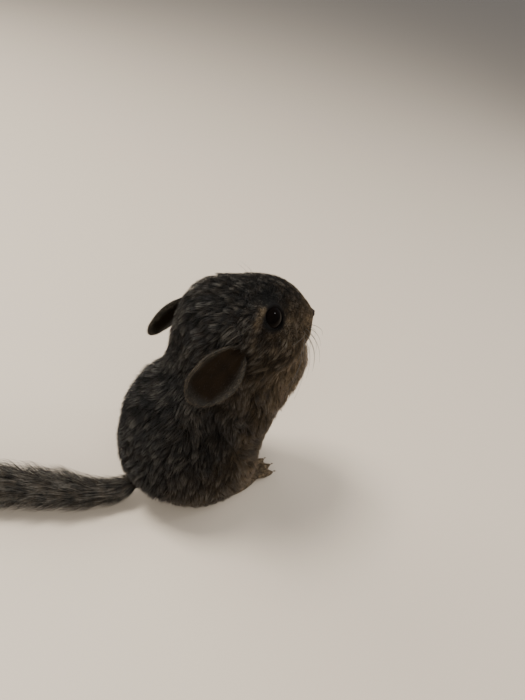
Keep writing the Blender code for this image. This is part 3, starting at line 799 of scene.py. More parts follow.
def ear_leaf(word):
    """One ear as a cupped leaf with a rolled rim and a few folds near its base. It stores its rim."""
    shape = bmesh.new()
    rim_layer = shape.verts.layers.float.new("rim")
    bmesh.ops.create_grid(shape, x_segments=EAR_GRID[0], y_segments=EAR_GRID[1], size=1)
    for point in shape.verts:
        x, y, _ = point.co
        across = x * math.sqrt(1 - y * y / 2)
        share = (y * math.sqrt(1 - x * x / 2) + 1) / 2
        narrow = EAR_NECK + (1 - EAR_NECK) * math.sin(min(share / EAR_WIDEST, 1) * math.pi / 2)
        cup = EAR_DEPTH * (1 - EAR_FLATTER * share) * (1 - across * across) - EAR_FORWARD
        edge = max(abs(x), abs(y)) if y > 0 else abs(x)
        rim = RIM_HEIGHT * max(edge - RIM_START, 0) / (1 - RIM_START)
        wave = WAVE_HEIGHT * math.sin(across * 7 + share * 5 + SIDES[word]) * (1 - 0.5 * share)
        fold = FOLD_HEIGHT * math.sin(across * 11 + SIDES[word]) * (1 - share) ** 2
        point[rim_layer] = float(ease(edge, *RIM_FADE))
        point.co = (across * EAR_WIDTH / 2 * narrow, -cup + rim + fold + wave, share * EAR_LENGTH)
    shape.transform(Matrix.Scale(MM, 4) @ ear_frame(word))
    ear = new_object("ear_leaf_" + word, mesh_from(shape, "ear_" + word))
    thick = ear.modifiers.new("thickness", "SOLIDIFY")
    thick.thickness = EAR_THICKNESS * MM
    thick.offset = 0
    apply_modifiers(ear)
    ear.data.shade_smooth()
    return ear


# %% Ear skin
# The middle's colours are the skin's own dark brown, darkened further with painted shade as if under the
# head's fur.
EAR_MIDDLE_AND_SHADE = ((0.002, 0.0013, 0.0007), (0.0135, 0.0078, 0.0034))
EAR_RIM = ((0.006, 0.0055, 0.0045), (0.034, 0.03, 0.024))


def ear_material():
    """Thin dark brown skin, its middle darkened further with painted shade, mottled, greyer towards the rim,
    with a fine nap.
    """
    made, shader = plain_material("ear skin", (0.02, 0.013, 0.008), 0.65)
    set_values(shader, {"Specular IOR Level": 0.08})
    tree = made.node_tree
    place = add_node(tree, "ShaderNodeTexCoord")
    blotch = add_node(tree, "ShaderNodeTexNoise", {"Scale": 160.0, "Detail": 4.0})
    rim = add_node(tree, "ShaderNodeAttribute", attribute_name="rim")
    tree.links.new(place.outputs["Object"], blotch.inputs["Vector"])
    middle, edge = (mix_colour(tree, blotch.outputs["Fac"], *colours) for colours in (EAR_MIDDLE_AND_SHADE, EAR_RIM))
    tree.links.new(mix_colour(tree, rim.outputs["Fac"], middle, edge), shader.inputs["Base Color"])
    nap = place_group(tree, FINE_NAP, {"Scale": 1800.0, "Detail": 3.0})
    raise_surface(tree, shader, nap.outputs["Height"], NAP_HEIGHT)
    return made


EAR_SKIN = ear_material()
EARS = {}
for word in SIDES:
    EARS[word] = ear_leaf(word)
    EARS[word].data.materials.append(EAR_SKIN)
    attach(EARS[word], "root")
    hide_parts("ear_" + word)


# %% [markdown]
# ## Eyes and lids
#
# The eye is a large dark ball, so dark that iris and pupil hardly part. A ring of bare black skin, the lids,
# lies on it. The ring is a tube swept round the eye, thicker above.

# %% Eyeballs
EYE_DARK, EYE_BROWN = (0.001, 0.0008, 0.0008), (0.003, 0.0018, 0.0012)


def eye_material():
    """Wet black, with a trace of mottled brown."""
    made, shader = plain_material("black eye", (0.002, 0.0015, 0.0015), 0.06)
    set_values(shader, {"Specular IOR Level": 0.2, "IOR": 1.2})
    tree = made.node_tree
    place = add_node(tree, "ShaderNodeTexCoord")
    grain = add_node(tree, "ShaderNodeTexNoise", {"Scale": 900.0, "Detail": 3.0})
    tree.links.new(place.outputs["Object"], grain.inputs["Vector"])
    colour = mix_colour(tree, grain.outputs["Fac"], EYE_DARK, EYE_BROWN)
    tree.links.new(colour, shader.inputs["Base Color"])
    return made


def eyeball():
    """A smooth ball of an eye's size, about its own middle."""
    shape = bmesh.new()
    bmesh.ops.create_uvsphere(shape, u_segments=48, v_segments=32, radius=EYE_RADIUS * MM)
    mesh = mesh_from(shape, "eyeball")
    mesh.shade_smooth()
    return mesh


EYE_LOOK = eye_material()
for word in SIDES:
    eye = new_object("eyeball_" + word, eyeball(), [EYE_LOOK])
    eye.location = EYES[word] * MM
    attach(eye, "root")
    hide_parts("eye_" + word)

# %% Lids
EYE_FACING = (0.32, 0.88, 0.36)
EYE_FORWARD = (1, 0, -0.35)
LID_LIFT = 4.0
LID_RADIUS = math.sqrt((EYE_RADIUS + 0.5) ** 2 - LID_LIFT**2)
LID_STEPS = 72
LID_SIDES = 12
# The ring's length and height, and its roll's width and thickness.
LID_LONG, LID_HIGH = 1.05, 0.97
ROLL_WIDE, ROLL_THICK = 1.25, 0.8
# How sharp the corners are, and how far they reach outwards and back.
CORNER_SHARP, CORNER_REACH, CORNER_BACK = 6, 0.08, 0.35
# The roll's fullness, how much more above, and how much less at the corners.
ROLL_FULL, ROLL_ABOVE, ROLL_CORNER = 0.8, 0.3, 0.15


def tube_mesh(name, tubes, closed_loop=False):
    """One mesh of tubes, each through rings of points in millimetres, joined end to end or capped."""
    shape = bmesh.new()
    for rings in tubes:
        rows = [[shape.verts.new(Vector(point) * MM) for point in ring] for ring in rings]
        count = len(rows[0])
        for near, far in zip(rows, rows[1:] + rows[:1] if closed_loop else rows[1:]):
            for at in range(count):
                after = (at + 1) % count
                shape.faces.new((near[at], near[after], far[after], far[at]))
        if not closed_loop:
            shape.faces.new(reversed(rows[0]))
            shape.faces.new(rows[-1])
    bmesh.ops.recalc_face_normals(shape, faces=shape.faces)
    mesh = mesh_from(shape, name)
    mesh.shade_smooth()
    return mesh


def eye_axes(side):
    """The way an eye looks, and the forward and upward directions across it."""
    turn = HEAD_FRAME.to_3x3()
    facing = (turn @ on_side(EYE_FACING, side)).normalized()
    forward = turn @ Vector(EYE_FORWARD)
    forward = (forward - facing * forward.dot(facing)).normalized()
    return facing, forward, facing.cross(forward) * side


def lid_ring(word, side):
    """The two lids as one almond ring, fuller above and drawn out a little to the corners."""
    facing, forward, up = eye_axes(side)
    middle = EYES[word] + facing * LID_LIFT
    rings = []
    for step in range(LID_STEPS):
        turn = math.tau * step / LID_STEPS
        corner = abs(math.cos(turn)) ** CORNER_SHARP
        outward = forward * math.cos(turn) * (LID_LONG + CORNER_REACH * corner)
        outward = outward + up * math.sin(turn) * LID_HIGH
        place = middle + outward * LID_RADIUS - facing * CORNER_BACK * corner
        full = ROLL_FULL + ROLL_ABOVE * max(math.sin(turn), 0) - ROLL_CORNER * corner
        outward = outward.normalized()
        ring = []
        for at in range(LID_SIDES):
            angle = math.tau * at / LID_SIDES
            roll = outward * math.cos(angle) * ROLL_WIDE + facing * math.sin(angle) * ROLL_THICK
            ring.append(place + roll * full)
        rings.append(ring)
    return tube_mesh("lids", [rings], closed_loop=True)


lid_look, lid_shader = plain_material("black lid skin", (0.003, 0.0025, 0.0022), 0.6)
set_values(lid_shader, {"Specular IOR Level": 0.1})
for word, side in SIDES.items():
    lids = new_object("lids_" + word, lid_ring(word, side), [lid_look])
    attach(lids, "root")

# %% [markdown]
# ## Nose
#
# The bare pad of the nose is a small rounded block with a groove down its middle and a comma-shaped nostril
# on each side, pressed into a fine sphere.

# %% The nose pad
NOSE_IN_HEAD = Vector((32.4, 0, -6.2))
NOSE_HALF = Vector((3.0, 3.4, 2.4))
NOSE_DARK, NOSE_LIGHT = (0.01, 0.007, 0.006), (0.026, 0.018, 0.0155)
PEBBLE_HEIGHT = 0.0002
GROOVE_DEPTH, GROOVE_WIDTH = 0.55, 0.35
NOSTRIL = (1.75, -0.15)
NOSTRIL_DEPTH, NOSTRIL_WIDTH, NOSTRIL_HEIGHT, NOSTRIL_SLANT = 1.1, 0.5, 0.8, 0.35
LOBE = (0.9, 0.9)
LOBE_RISE, LOBE_WIDTH, LOBE_HEIGHT = 0.25, 0.6, 0.9


def nose_material():
    """Grey brown skin with a pebbled surface."""
    made, shader = plain_material("nose skin", (0.02, 0.014, 0.012), 0.6)
    set_values(shader, {"Specular IOR Level": 0.1})
    tree = made.node_tree
    place = add_node(tree, "ShaderNodeTexCoord")
    pebbles = add_node(tree, "ShaderNodeTexVoronoi", {"Scale": 2600.0})
    tree.links.new(place.outputs["Object"], pebbles.inputs["Vector"])
    colour = mix_colour(tree, pebbles.outputs["Distance"], NOSE_LIGHT, NOSE_DARK)
    tree.links.new(colour, shader.inputs["Base Color"])
    raise_surface(tree, shader, pebbles.outputs["Distance"], PEBBLE_HEIGHT)
    return made


def nose_pad():
    """The pad with its groove and nostrils."""
    shape = bmesh.new()
    bmesh.ops.create_uvsphere(shape, u_segments=72, v_segments=48, radius=1)
    for point in shape.verts:
        x, y, z = (point.co[axis] * NOSE_HALF[axis] for axis in range(3))
        front = max(point.co.x, 0)
        groove = GROOVE_DEPTH * math.exp(-((y / GROOVE_WIDTH) ** 2)) * front
        beside, above = abs(y) - NOSTRIL[0], z - NOSTRIL[1]
        beside -= NOSTRIL_SLANT * above
        hollow = math.exp(-((beside / NOSTRIL_WIDTH) ** 2) - (above / NOSTRIL_HEIGHT) ** 2)
        beside, above = abs(y) - LOBE[0], z - LOBE[1]
        lobe = LOBE_RISE * math.exp(-((beside / LOBE_WIDTH) ** 2) - (above / LOBE_HEIGHT) ** 2)
        out = lobe - groove - NOSTRIL_DEPTH * hollow * front
        point.co = from_head(NOSE_IN_HEAD + Vector((x + out, y, z))) * MM
    mesh = mesh_from(shape, "nose_pad")
    mesh.shade_smooth()
    return new_object("nose_pad", mesh, [nose_material()])


nose = nose_pad()
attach(nose, "root")
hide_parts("nose")
print("nose:", len(nose.data.vertices), "points")

# %% [markdown]
# ## Whiskers and claws
#
# Whiskers are thin tapered tubes that start on the skin of the whisker pads and sweep outwards and back.
# Claws are short curved cones on the toes and fingers. One function draws both: a tapered tube along a curved
# line.

# %% Whiskers
WHISKER_ROWS = 4
WHISKERS_IN_ROW = 4
WHISKER_STEPS = 9
WHISKER_SIDES = 5
# The first whisker's root in the head's frame, and the steps to the next in its row and to the next row.
PAD_START, PAD_ALONG, PAD_DOWN = np.array(((26.5, 8, -7.5), (-2.3, 1.4, 0), (0, 0, -2.2)))
WAY_START, WAY_ALONG, WAY_DOWN = np.array(((0.15, 0.9, 0.35), (-0.18, 0, 0), (0, 0, -0.25)))
RISE_SPREAD = 0.08
WHISKER_BEND = (-0.75, -0.25, -0.25)
WHISKER_LENGTH, LONGER_ALONG, LENGTH_SPREAD = 17, 4.2, (0.85, 1.1)
WHISKER_RADII = (0.13, 0.03)
BROW_START, BROW_ALONG = np.array(((5, 14, 11.5), (2, -1.5, 0)))
BROW_WAY, BROW_BEND = (-0.1, 0.5, 0.8), (-0.9, 0, -0.3)
BROW_LENGTHS = (8, 10)
BROW_RADII = (0.08, 0.02)


def surface_tree(mesh):
    """A mesh's faces in millimetres, ready to be searched for the nearest place or along a line."""
    places = [Vector(place) for place in read_points(mesh)]
    return BVHTree.FromPolygons(places, [list(face.vertices) for face in mesh.polygons])


def tapered_tube(start, way, bend, length, radii, steps, sides):
    """Rings of a tube that leaves its start along a way and turns towards a bend as it goes."""
    rings = []
    for step in range(steps + 1):
        share = step / steps
        heading = (Vector(way).normalized() + Vector(bend) * share).normalized()
        place = Vector(start) + (Vector(way).normalized() + Vector(bend) * share / 2) * length * share
        across = heading.orthogonal().normalized()
        radius = radii[0] + (radii[1] - radii[0]) * share
        turns = [math.tau * corner / sides for corner in range(sides)]
        rings.append([place + (across * math.cos(turn) + heading.cross(across) * math.sin(turn)) * radius
                      for turn in turns])
    return rings


whisker_dice = np.random.default_rng(11)
whisker_tubes = []
skin_tree = surface_tree(skin.data)
head_turn = HEAD_TURN.to_3x3()
for side in SIDES.values():
    for row in range(WHISKER_ROWS):
        for place in range(WHISKERS_IN_ROW):
            guess = from_head(PAD_START + place * PAD_ALONG + row * PAD_DOWN, side)
            start = skin_tree.find_nearest(guess)[0]
            way = WAY_START + place * WAY_ALONG + row * WAY_DOWN
            way[2] += whisker_dice.uniform(-RISE_SPREAD, RISE_SPREAD)
            bend = head_turn @ on_side(WHISKER_BEND, side)
            length = whisker_dice.uniform(*LENGTH_SPREAD) * (WHISKER_LENGTH + LONGER_ALONG * place)
            whisker_tubes.append(tapered_tube(start, head_turn @ on_side(way, side), bend, length,
                                              WHISKER_RADII, WHISKER_STEPS, WHISKER_SIDES))
    for step, length in enumerate(BROW_LENGTHS):
        start = skin_tree.find_nearest(from_head(BROW_START + step * BROW_ALONG, side))[0]
        way, bend = (head_turn @ on_side(vector, side) for vector in (BROW_WAY, BROW_BEND))
        whisker_tubes.append(tapered_tube(start, way, bend, length, BROW_RADII, WHISKER_STEPS, WHISKER_SIDES))
whisker_look, _ = plain_material("whisker", (0.05, 0.045, 0.04), 0.4)
whiskers = new_object("whiskers", tube_mesh("whiskers", whisker_tubes), [whisker_look])
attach(whiskers, "root")
print(len(whisker_tubes), "whiskers and brow hairs")

# %% Claws
TOES = [
    # knuckle and tip of each toe of the left foot
    ((36, 13.6, 4), (48, 10.9, 2.3)),
    ((36, 17.2, 4), (50, 15.8, 2.3)),
    ((36, 21, 4), (49, 20.9, 2.3)),
    ((33, 13.6, 3.2), (39, 11.4, 2.2)),
]
TOE_RADIUS = 2.0
TOE_CLAW = {"bend": (0, 0, -0.7), "length": 1.7, "radii": (0.5, 0.12), "steps": 6, "sides": 8}
CLAW_INSIDE, CLAW_RAISED = 0.9, Vector((0, 0, 0.5))
PALM = Vector((45.5, 6.8, 51.5))
FINGER_SPREADS = (-3, -1, 1, 3)
FINGER_REACH, FINGER_SHORTER = 6.2, 0.4
FINGER_GAP, FINGER_INWARD = 1.15, 0.6
FINGER_WAY = (0.55, 0, -0.85)
FINGER_CLAW = {"bend": (-0.4, 0, -0.3), "length": 2.2, "radii": (0.36, 0.08), "steps": 6, "sides": 8}

claw_tubes = []
for side in SIDES.values():
    for toe in TOES:
        knuckle, tip = (on_side(place, side) for place in toe)
        way = (tip - knuckle).normalized()
        start = tip + way * (TOE_RADIUS - CLAW_INSIDE) + CLAW_RAISED
        claw_tubes.append(tapered_tube(start, way, **TOE_CLAW))
    for spread in FINGER_SPREADS:
        reach = FINGER_REACH - abs(spread) * FINGER_SHORTER
        tip = on_side(PALM + Vector((reach, spread * FINGER_GAP - FINGER_INWARD, -FINGER_REACH)), side)
        claw_tubes.append(tapered_tube(tip, FINGER_WAY, **FINGER_CLAW))
claw_look, _ = plain_material("pale horn", (0.16, 0.12, 0.085), 0.4)
claws = new_object("claws", tube_mesh("claws", claw_tubes), [claw_look])
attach(claws, "root")
print(len(claw_tubes), "claws")

# %% [markdown]
# ## Scattering tufts
#
# A real chinchilla has dozens of hairs in each root. Here a tuft is one thin closed spike with three sides,
# bent so that it rises from the skin and then lies along the body. Roots are scattered over the skin at
# random, and closer together where the tufts are thinner.

# %% The skin as arrays
def triangles_of(mesh):
    """The numbers of the three points of each triangle of a mesh."""
    mesh.calc_loop_triangles()
    corners = np.empty(len(mesh.loop_triangles) * 3, np.int32)
    mesh.loop_triangles.foreach_get("vertices", corners)
    return corners.reshape(-1, 3)


def areas_of(places, faces):
    """The area of each triangle."""
    first, second, third = (places[faces[:, corner]] for corner in range(3))
    return np.linalg.norm(np.cross(second - first, third - first), axis=1) / 2


SKIN_FACES = triangles_of(skin.data)
SKIN_POINTS = read_points(skin.data)
SKIN_NORMALS = read_normals(skin.data)
SKIN_AREAS = areas_of(SKIN_POINTS, SKIN_FACES)
SKIN_AREA = SKIN_AREAS.sum()
print("skin area:", round(SKIN_AREA), "mm2 in", len(SKIN_FACES), "triangles")

# %% Scatter roots
ROOT_SPACING = 1.26


def random_spots(dice, faces, weights, count):
    """Random spots on triangles, more where the weights are high: their corners, and the corners' shares."""
    chosen = faces[dice.choice(len(faces), count, p=weights / weights.sum())]
    return chosen, dice.dirichlet((1, 1, 1), count)[:, :, None]


def scatter(dice, spacing_of_width):
    """Random roots on the skin, closer where tufts are thinner. Returns places and normals."""
    widths = groom(SKIN_POINTS)[3]
    wanted = SKIN_AREAS / (spacing_of_width * widths[SKIN_FACES].mean(axis=1)) ** 2
    chosen, shares = random_spots(dice, SKIN_FACES, wanted, int(wanted.sum()))
    return (SKIN_POINTS[chosen] * shares).sum(axis=1), unit((SKIN_NORMALS[chosen] * shares).sum(axis=1))


dice = np.random.default_rng(5)
roots, root_normals = scatter(dice, ROOT_SPACING)
print(len(roots), "roots before the bare places are left out")

# %% [markdown]
# Some roots are left out: those on the eyes, the nose and the flat underside. The ears bring their own hair.

# %% Leave bare places out
EYE_MARGIN = 0.7
NOSE_CLEAR = 3.1
UNDERSIDE_HEIGHT, UNDERSIDE_FACING = 1.2, -0.6


def has_coat(places, normals):
    """True where hair grows."""
    made = ~((places[:, 2] < UNDERSIDE_HEIGHT) & (normals[:, 2] < UNDERSIDE_FACING))
    for eye in EYES.values():
        made &= away_from(places, eye) > EYE_RADIUS + EYE_MARGIN
    return made & (away_from(places, NOSE) > NOSE_CLEAR)


keep = has_coat(roots, root_normals)
roots, root_normals = roots[keep], root_normals[keep]
print(len(roots), "tufts on head, body and limbs")


# %% [markdown]
# ## Clumps and locks
#
# The hair of a chinchilla parts into small clumps whose tips lean together, and on the chest and cheeks the
# clumps gather again into soft curling locks. Each tuft belongs to the nearest of many middles, which are
# tufts chosen at random, and bends towards the line of that tuft. A clump, a lock and a tuft also have a tone
# each, so that some look lighter.

# %% Ways and clumps
WAVES = 5
WAVE_RANGE = (0.7, 1.4)
WAVE_GAIN = 1.6
LYING_DOWN = 1.5
GATHERED_AT_TIP = 1.4


def smooth_waves(places, wavelength, seed):
    """Slow smooth noise, mostly from -1 to 1, as a few crossed waves."""
    waves = np.random.default_rng(seed)
    total = np.zeros(len(places))
    for _ in range(WAVES):
        way = unit(waves.normal(size=3)) * math.tau / (wavelength * waves.uniform(*WAVE_RANGE))
        total += np.sin(places @ way + waves.uniform(0, math.tau))
    return total / WAVES * WAVE_GAIN


def tangent(vectors, normals):
    """Vectors laid flat on the surface, with a length of one."""
    return unit(vectors - normals * (vectors * normals).sum(axis=1, keepdims=True))


def turned(vectors, normals, angles):
    """Vectors turned about the normals."""
    across = np.cross(normals, vectors)
    return vectors * np.cos(angles)[:, None] + across * np.sin(angles)[:, None]


def strand_path(places, normals, lies, depths, lengths, shares, sink=0.4):
    """Points along tufts: they rise from the skin and then lie along the body."""
    steps = []
    for share in shares:
        forward = share**LYING_DOWN
        rise = math.sin(share * math.pi / 2)
        height = (depths + sink) * rise - sink
        steps.append(places + lies * (lengths * forward)[:, None] + normals * height[:, None])
    return np.stack(steps, axis=1)


def middles(places, area, spacing, dice):
    """The number of the tuft at the middle of each tuft's clump, for clumps about this far apart."""
    chosen = dice.choice(len(places), int(area / spacing**2), replace=False)
    tree = KDTree(len(chosen))
    for number, index in enumerate(chosen):
        tree.insert(places[index], number)
    tree.balance()
    return chosen[np.array([tree.find(place)[1] for place in places])]


def gather(paths, leaders, pull, shares):
    """Bends tufts towards the tuft at the middle of their clump, most at the tips."""
    shares = np.array(shares)[None, :, None]
    return paths + (paths[leaders] - paths) * pull[:, None, None] * shares**GATHERED_AT_TIP


# %% [markdown]
# The mesh of a coat piece is written in one go from arrays: the rings of every tuft, its faces, a colour
# attribute with the markings at its root, and one with how far along the tuft a point is. The UV map named
# OFBake gives each tuft a small patch at its root's place on an unwrap: round the body or the head by angle,
# and up by height.

# %% Write tufts as one mesh
PATCH = 0.003
TUFT_SECTION = ((-0.5, 0.0), (0.5, 0.0), (0.0, 0.45))
TUFT_TAPER = 0.42
FLOOR_CLEARANCE = 0.15


def tuft_points(paths, sides, ups, widths):
    """The points of closed, tapered, three-sided tufts along the paths, ring by ring, each tip last."""
    count, steps, _ = paths.shape
    points = np.empty((count, (steps - 1) * 3 + 1, 3))
    for ring, taper in enumerate(np.linspace(1, TUFT_TAPER, steps - 1)):
        for corner, (across, up) in enumerate(TUFT_SECTION):
            out = sides * (widths * across)[:, None] + ups * (widths * up)[:, None]
            points[:, ring * 3 + corner] = paths[:, ring] + out * taper
    points[:, -1] = paths[:, -1]
    points[:, :, 2] = np.maximum(points[:, :, 2], FLOOR_CLEARANCE)
    return points


def tuft_faces(rings):
    """The triangles of one tuft: its root, its sides and its point."""
    faces = [(0, 2, 1)]
    for near in range(0, (rings - 1) * 3, 3):
        for corner in range(3):
            here, after = near + corner, near + (corner + 1) % 3
            faces += [(here, after, after + 3), (here, after + 3, here + 3)]
    last = (rings - 1) * 3
    return faces + [(last + corner, last + (corner + 1) % 3, last + 3) for corner in range(3)]


def tuft_mesh(name, paths, sides, ups, widths, marks, tones, spots):
    """One mesh of all the tufts along the paths, with its colour attributes and its unwrap."""
    points = tuft_points(paths, sides, ups, widths)
    count, per, _ = points.shape
    rings = per // 3
    faces = np.array(tuft_faces(rings))
    faces = (faces[None] + (np.arange(count) * per)[:, None, None]).reshape(-1, 3)

    mesh = bpy.data.meshes.new(name)
    mesh.vertices.add(count * per)
    mesh.vertices.foreach_set("co", (points * MM).astype(np.float32).ravel())
    mesh.loops.add(faces.size)
    mesh.loops.foreach_set("vertex_index", faces.astype(np.int32).ravel())
    mesh.polygons.add(len(faces))
    mesh.polygons.foreach_set("loop_start", (np.arange(len(faces)) * 3).astype(np.int32))
    mesh.update(calc_edges=True)
    mesh.shade_smooth()

    reach = np.append(np.repeat(np.arange(rings) / rings, 3), 1.0)
    strand = np.zeros((count, per, 3))
    strand[:, :, 0] = reach
    strand[:, :, 1] = tones[:, None]
    store_colour(mesh, "strand", strand.reshape(-1, 3))
    store_colour(mesh, "markings", np.repeat(marks, per, axis=0))
    patch = np.stack([np.append(np.tile((0.0, 0.5, 1.0), rings), 0.5), reach], axis=1) * PATCH
    spots = (spots - spots.min(axis=0)) / np.maximum(np.ptp(spots, axis=0), TINY) * (1 - PATCH)
    unwrap = (spots[:, None] + patch[None]).reshape(-1, 2)
    layer = mesh.uv_layers.new(name="OFBake")
    layer.uv.foreach_set("vector", unwrap[faces.ravel()].astype(np.float32).ravel())
    return mesh


# %% Grow the coat
COAT_SHARES = (0.0, 0.45, 1.0)
CLUMP_SPACING, LOCK_SPACING = 2.5, 6.5
# How many degrees the lie wavers, over how many millimetres, and by how many a single tuft strays.
SWIRL, SWIRL_LENGTH, STRAY = 10, 9, 7
# The share of tufts that stand up, and how much thinner and less gathered they are.
STANDING, STANDING_WIDTH, STANDING_LOCK, STANDING_PULL = 0.14, 0.6, 0.5, 0.15
CLUMP_PULL, PULL_RANGE = 0.45, (0.7, 1.2)
LENGTH_RANGE = (0.8, 1.15)
STANDING_HEIGHT, LYING_HEIGHT, LOCK_HEIGHT = (1.05, 1.35), (0.8, 1.05), (0.82, 1.12)
WIDTH_RANGE = (0.7, 1.1)
# How far a curling lock bends its tufts' tips aside, and their middles back.
HOOK, HOOK_BACK = 0.9, 0.15
# The shares of a tone that come from lock, tuft and clump.
LOCK_TONE, LOCK_TONE_MORE, TUFT_TONE, SHARED_TONE = 0.15, 0.35, 0.2, 0.8

lies, depths, lengths, widths, locks, curls = groom(roots)
marks = markings(roots)
count = len(roots)
clump = middles(roots, SKIN_AREA, CLUMP_SPACING, dice)
lock = middles(roots, SKIN_AREA, LOCK_SPACING, dice)
swirl = smooth_waves(roots, SWIRL_LENGTH, 3) * math.radians(SWIRL)
swirl = swirl + dice.normal(0, math.radians(STRAY), count)
curl = dice.uniform(-1, 1, count)[lock] * np.radians(curls)
ways = turned(tangent(lies, root_normals), root_normals, swirl + curl)
lengths = lengths * dice.uniform(*LENGTH_RANGE, count)
standing = dice.random(count) < STANDING
high, low = dice.uniform(*STANDING_HEIGHT, count), dice.uniform(*LYING_HEIGHT, count)
heights = depths * np.where(standing, high, low)
heights *= dice.uniform(*LOCK_HEIGHT, count)[lock]
paths = strand_path(roots, root_normals, ways, heights, lengths, COAT_SHARES)
hook = np.cross(root_normals, ways) * (lengths * np.sin(curl) * HOOK)[:, None]
paths[:, -1] += hook
paths[:, 1] -= hook * HOOK_BACK
paths = gather(paths, lock, locks * np.where(standing, STANDING_LOCK, 1.0), COAT_SHARES)
pull = np.where(standing, STANDING_PULL, CLUMP_PULL) * dice.uniform(*PULL_RANGE, count)
paths = gather(paths, clump, pull, COAT_SHARES)
lock_share = LOCK_TONE + LOCK_TONE_MORE * np.clip(locks, 0, 1)
tones = lock_share * dice.random(count)[lock] + TUFT_TONE * dice.random(count)
tones += (SHARED_TONE - lock_share) * dice.random(count)[clump]
widths = widths * np.where(standing, STANDING_WIDTH, 1.0) * dice.uniform(*WIDTH_RANGE, count)
sides = unit(np.cross(ways, root_normals))
print("tufts are", round(lengths.min(), 1), "to", round(lengths.max(), 1), "mm long, in",
      len(np.unique(clump)), "clumps and", len(np.unique(lock)), "locks")

# %% [markdown]
# A tuft that would pass through a leaf of an ear is left out.

# %% Keep tufts out of the ears
EAR_REACH = 8
EAR_TREES = [surface_tree(ear.data) for ear in EARS.values()]


def crosses_ear(path):
    """True where the line from a tuft's root to its tip meets an ear."""
    root, tip = Vector(path[0]), Vector(path[-1])
    for tree in EAR_TREES:
        if tree.find_nearest(root, EAR_REACH)[0] is None:
            continue
        if tree.ray_cast(root, tip - root, (tip - root).length)[0] is not None:
            return True
    return False


keep = np.array([not crosses_ear(path) for path in paths])
roots, root_normals, paths, sides, widths, marks, tones = (
    values[keep] for values in (roots, root_normals, paths, sides, widths, marks, tones)
)
print(np.count_nonzero(~keep), "tufts left out at the ears")


# %% Divide the coat into pieces
BODY_MIDDLE = np.array((8, 0))
HEAD_MIDDLE = np.array(from_head((0, 0, -4)))
COAT_LIMIT = 19500
# The head's coat lies above a sloping plane: its height above one place, that place, and its slope.
NECK_HEIGHT, NECK_PLACE, NECK_SLOPE = 105, 14, 0.25
UNWRAP_LENGTH = 130


def unwrap_spots(places, on_head):
    """Where roots lie on an unwrap: the angle round head or body, and the place along it."""
    body_turn = np.arctan2(places[:, 1] - BODY_MIDDLE[1], places[:, 0] - BODY_MIDDLE[0])
    head_turn = np.arctan2(places[:, 1] - HEAD_MIDDLE[1], places[:, 2] - HEAD_MIDDLE[2])
    turn = np.where(on_head, head_turn, body_turn)
    along = np.where(on_head, places[:, 0], places[:, 2])
    return np.stack([turn / math.tau, along / UNWRAP_LENGTH], axis=1)


on_head = roots[:, 2] + NECK_SLOPE * (roots[:, 0] + NECK_PLACE) > NECK_HEIGHT
spots = unwrap_spots(roots, on_head)
pieces = {}
for part, there in (("head", on_head), ("body", ~on_head)):
    numbers = np.flatnonzero(there)
    numbers = numbers[np.argsort(spots[numbers, 0], kind="stable")]
    share = math.ceil(len(numbers) / COAT_LIMIT)
    for at, group in enumerate(np.array_split(numbers, share)):
        pieces[f"coat_{part}_{at + 1}"] = group

for name, group in pieces.items():
    mesh = tuft_mesh(name, paths[group], sides[group], root_normals[group], widths[group], marks[group],
                     tones[group], spots[group])
    coat = new_object(name, mesh, [HAIR])
    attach(coat, "root")
    print(name, len(group), "tufts,", len(mesh.polygons), "triangles")

# %% [markdown]
# The ears carry very short hair, mostly along their rims and on their backs.

# %% Hair on the ears
EAR_TUFTS = 2600
EAR_HAIR_LENGTH, EAR_LENGTH_RANGE = 1.5, (0.6, 1.2)
EAR_HAIR_WIDTH, EAR_WIDTH_RANGE = 0.13, (0.8, 1.2)
EAR_HAIR_DEPTH, EAR_HAIR_SINK = 0.35, 0.1
EAR_HAIR_STRAY = 25
# How much hair the bare middle has beside the rim.
MIDDLE_HAIR = 0.05
EAR_PALE, EAR_WARM, EAR_DARK = 0.25, 0.3, 0.5
EAR_TONE, EAR_TONE_MORE = 0.35, 0.5


def ear_hair(word):
    """Short tufts on one ear, most along its rim, lying towards its tip."""
    mesh = EARS[word].data
    faces, places, normals = triangles_of(mesh), read_points(mesh), read_normals(mesh)
    rims = np.array([value.value for value in mesh.attributes["rim"].data])
    weights = areas_of(places, faces) * (MIDDLE_HAIR + rims[faces].mean(axis=1))
    chosen, shares = random_spots(dice, faces, weights, EAR_TUFTS)
    places, normals = (places[chosen] * shares).sum(axis=1), unit((normals[chosen] * shares).sum(axis=1))
    rims = (rims[chosen] * shares[:, :, 0]).sum(axis=1)
    along = np.array(ear_frame(word).to_3x3().col[2])
    ways = tangent(np.tile(along, (EAR_TUFTS, 1)), normals)
    ways = turned(ways, normals, dice.normal(0, math.radians(EAR_HAIR_STRAY), EAR_TUFTS))
    lengths = EAR_HAIR_LENGTH * dice.uniform(*EAR_LENGTH_RANGE, EAR_TUFTS)
    depths = np.full(EAR_TUFTS, EAR_HAIR_DEPTH)
    paths = strand_path(places, normals, ways, depths, lengths, COAT_SHARES, EAR_HAIR_SINK)
    marks = np.stack([EAR_PALE * rims, np.full(EAR_TUFTS, EAR_WARM), EAR_DARK * (1 - rims)], axis=1)
    spots = np.stack([places[:, 1], places[:, 0]], axis=1)
    tones = EAR_TONE + EAR_TONE_MORE * dice.random(EAR_TUFTS)
    widths = EAR_HAIR_WIDTH * dice.uniform(*EAR_WIDTH_RANGE, EAR_TUFTS)
    sides = unit(np.cross(ways, normals))
    return tuft_mesh("ear_hair_" + word, paths, sides, normals, widths, marks, tones, spots)


for word in SIDES:
    hair = new_object("ear_hair_" + word, ear_hair(word), [HAIR])
    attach(hair, "root")
    print("ear hair", word, len(hair.data.polygons), "triangles")

# %% [markdown]
# ## The tail
#
# The tail carries the longest and coarsest hair: it sweeps towards the tip and stands out like a bottle
# brush. Its core is a tapered tube along the same line as in the solid model.

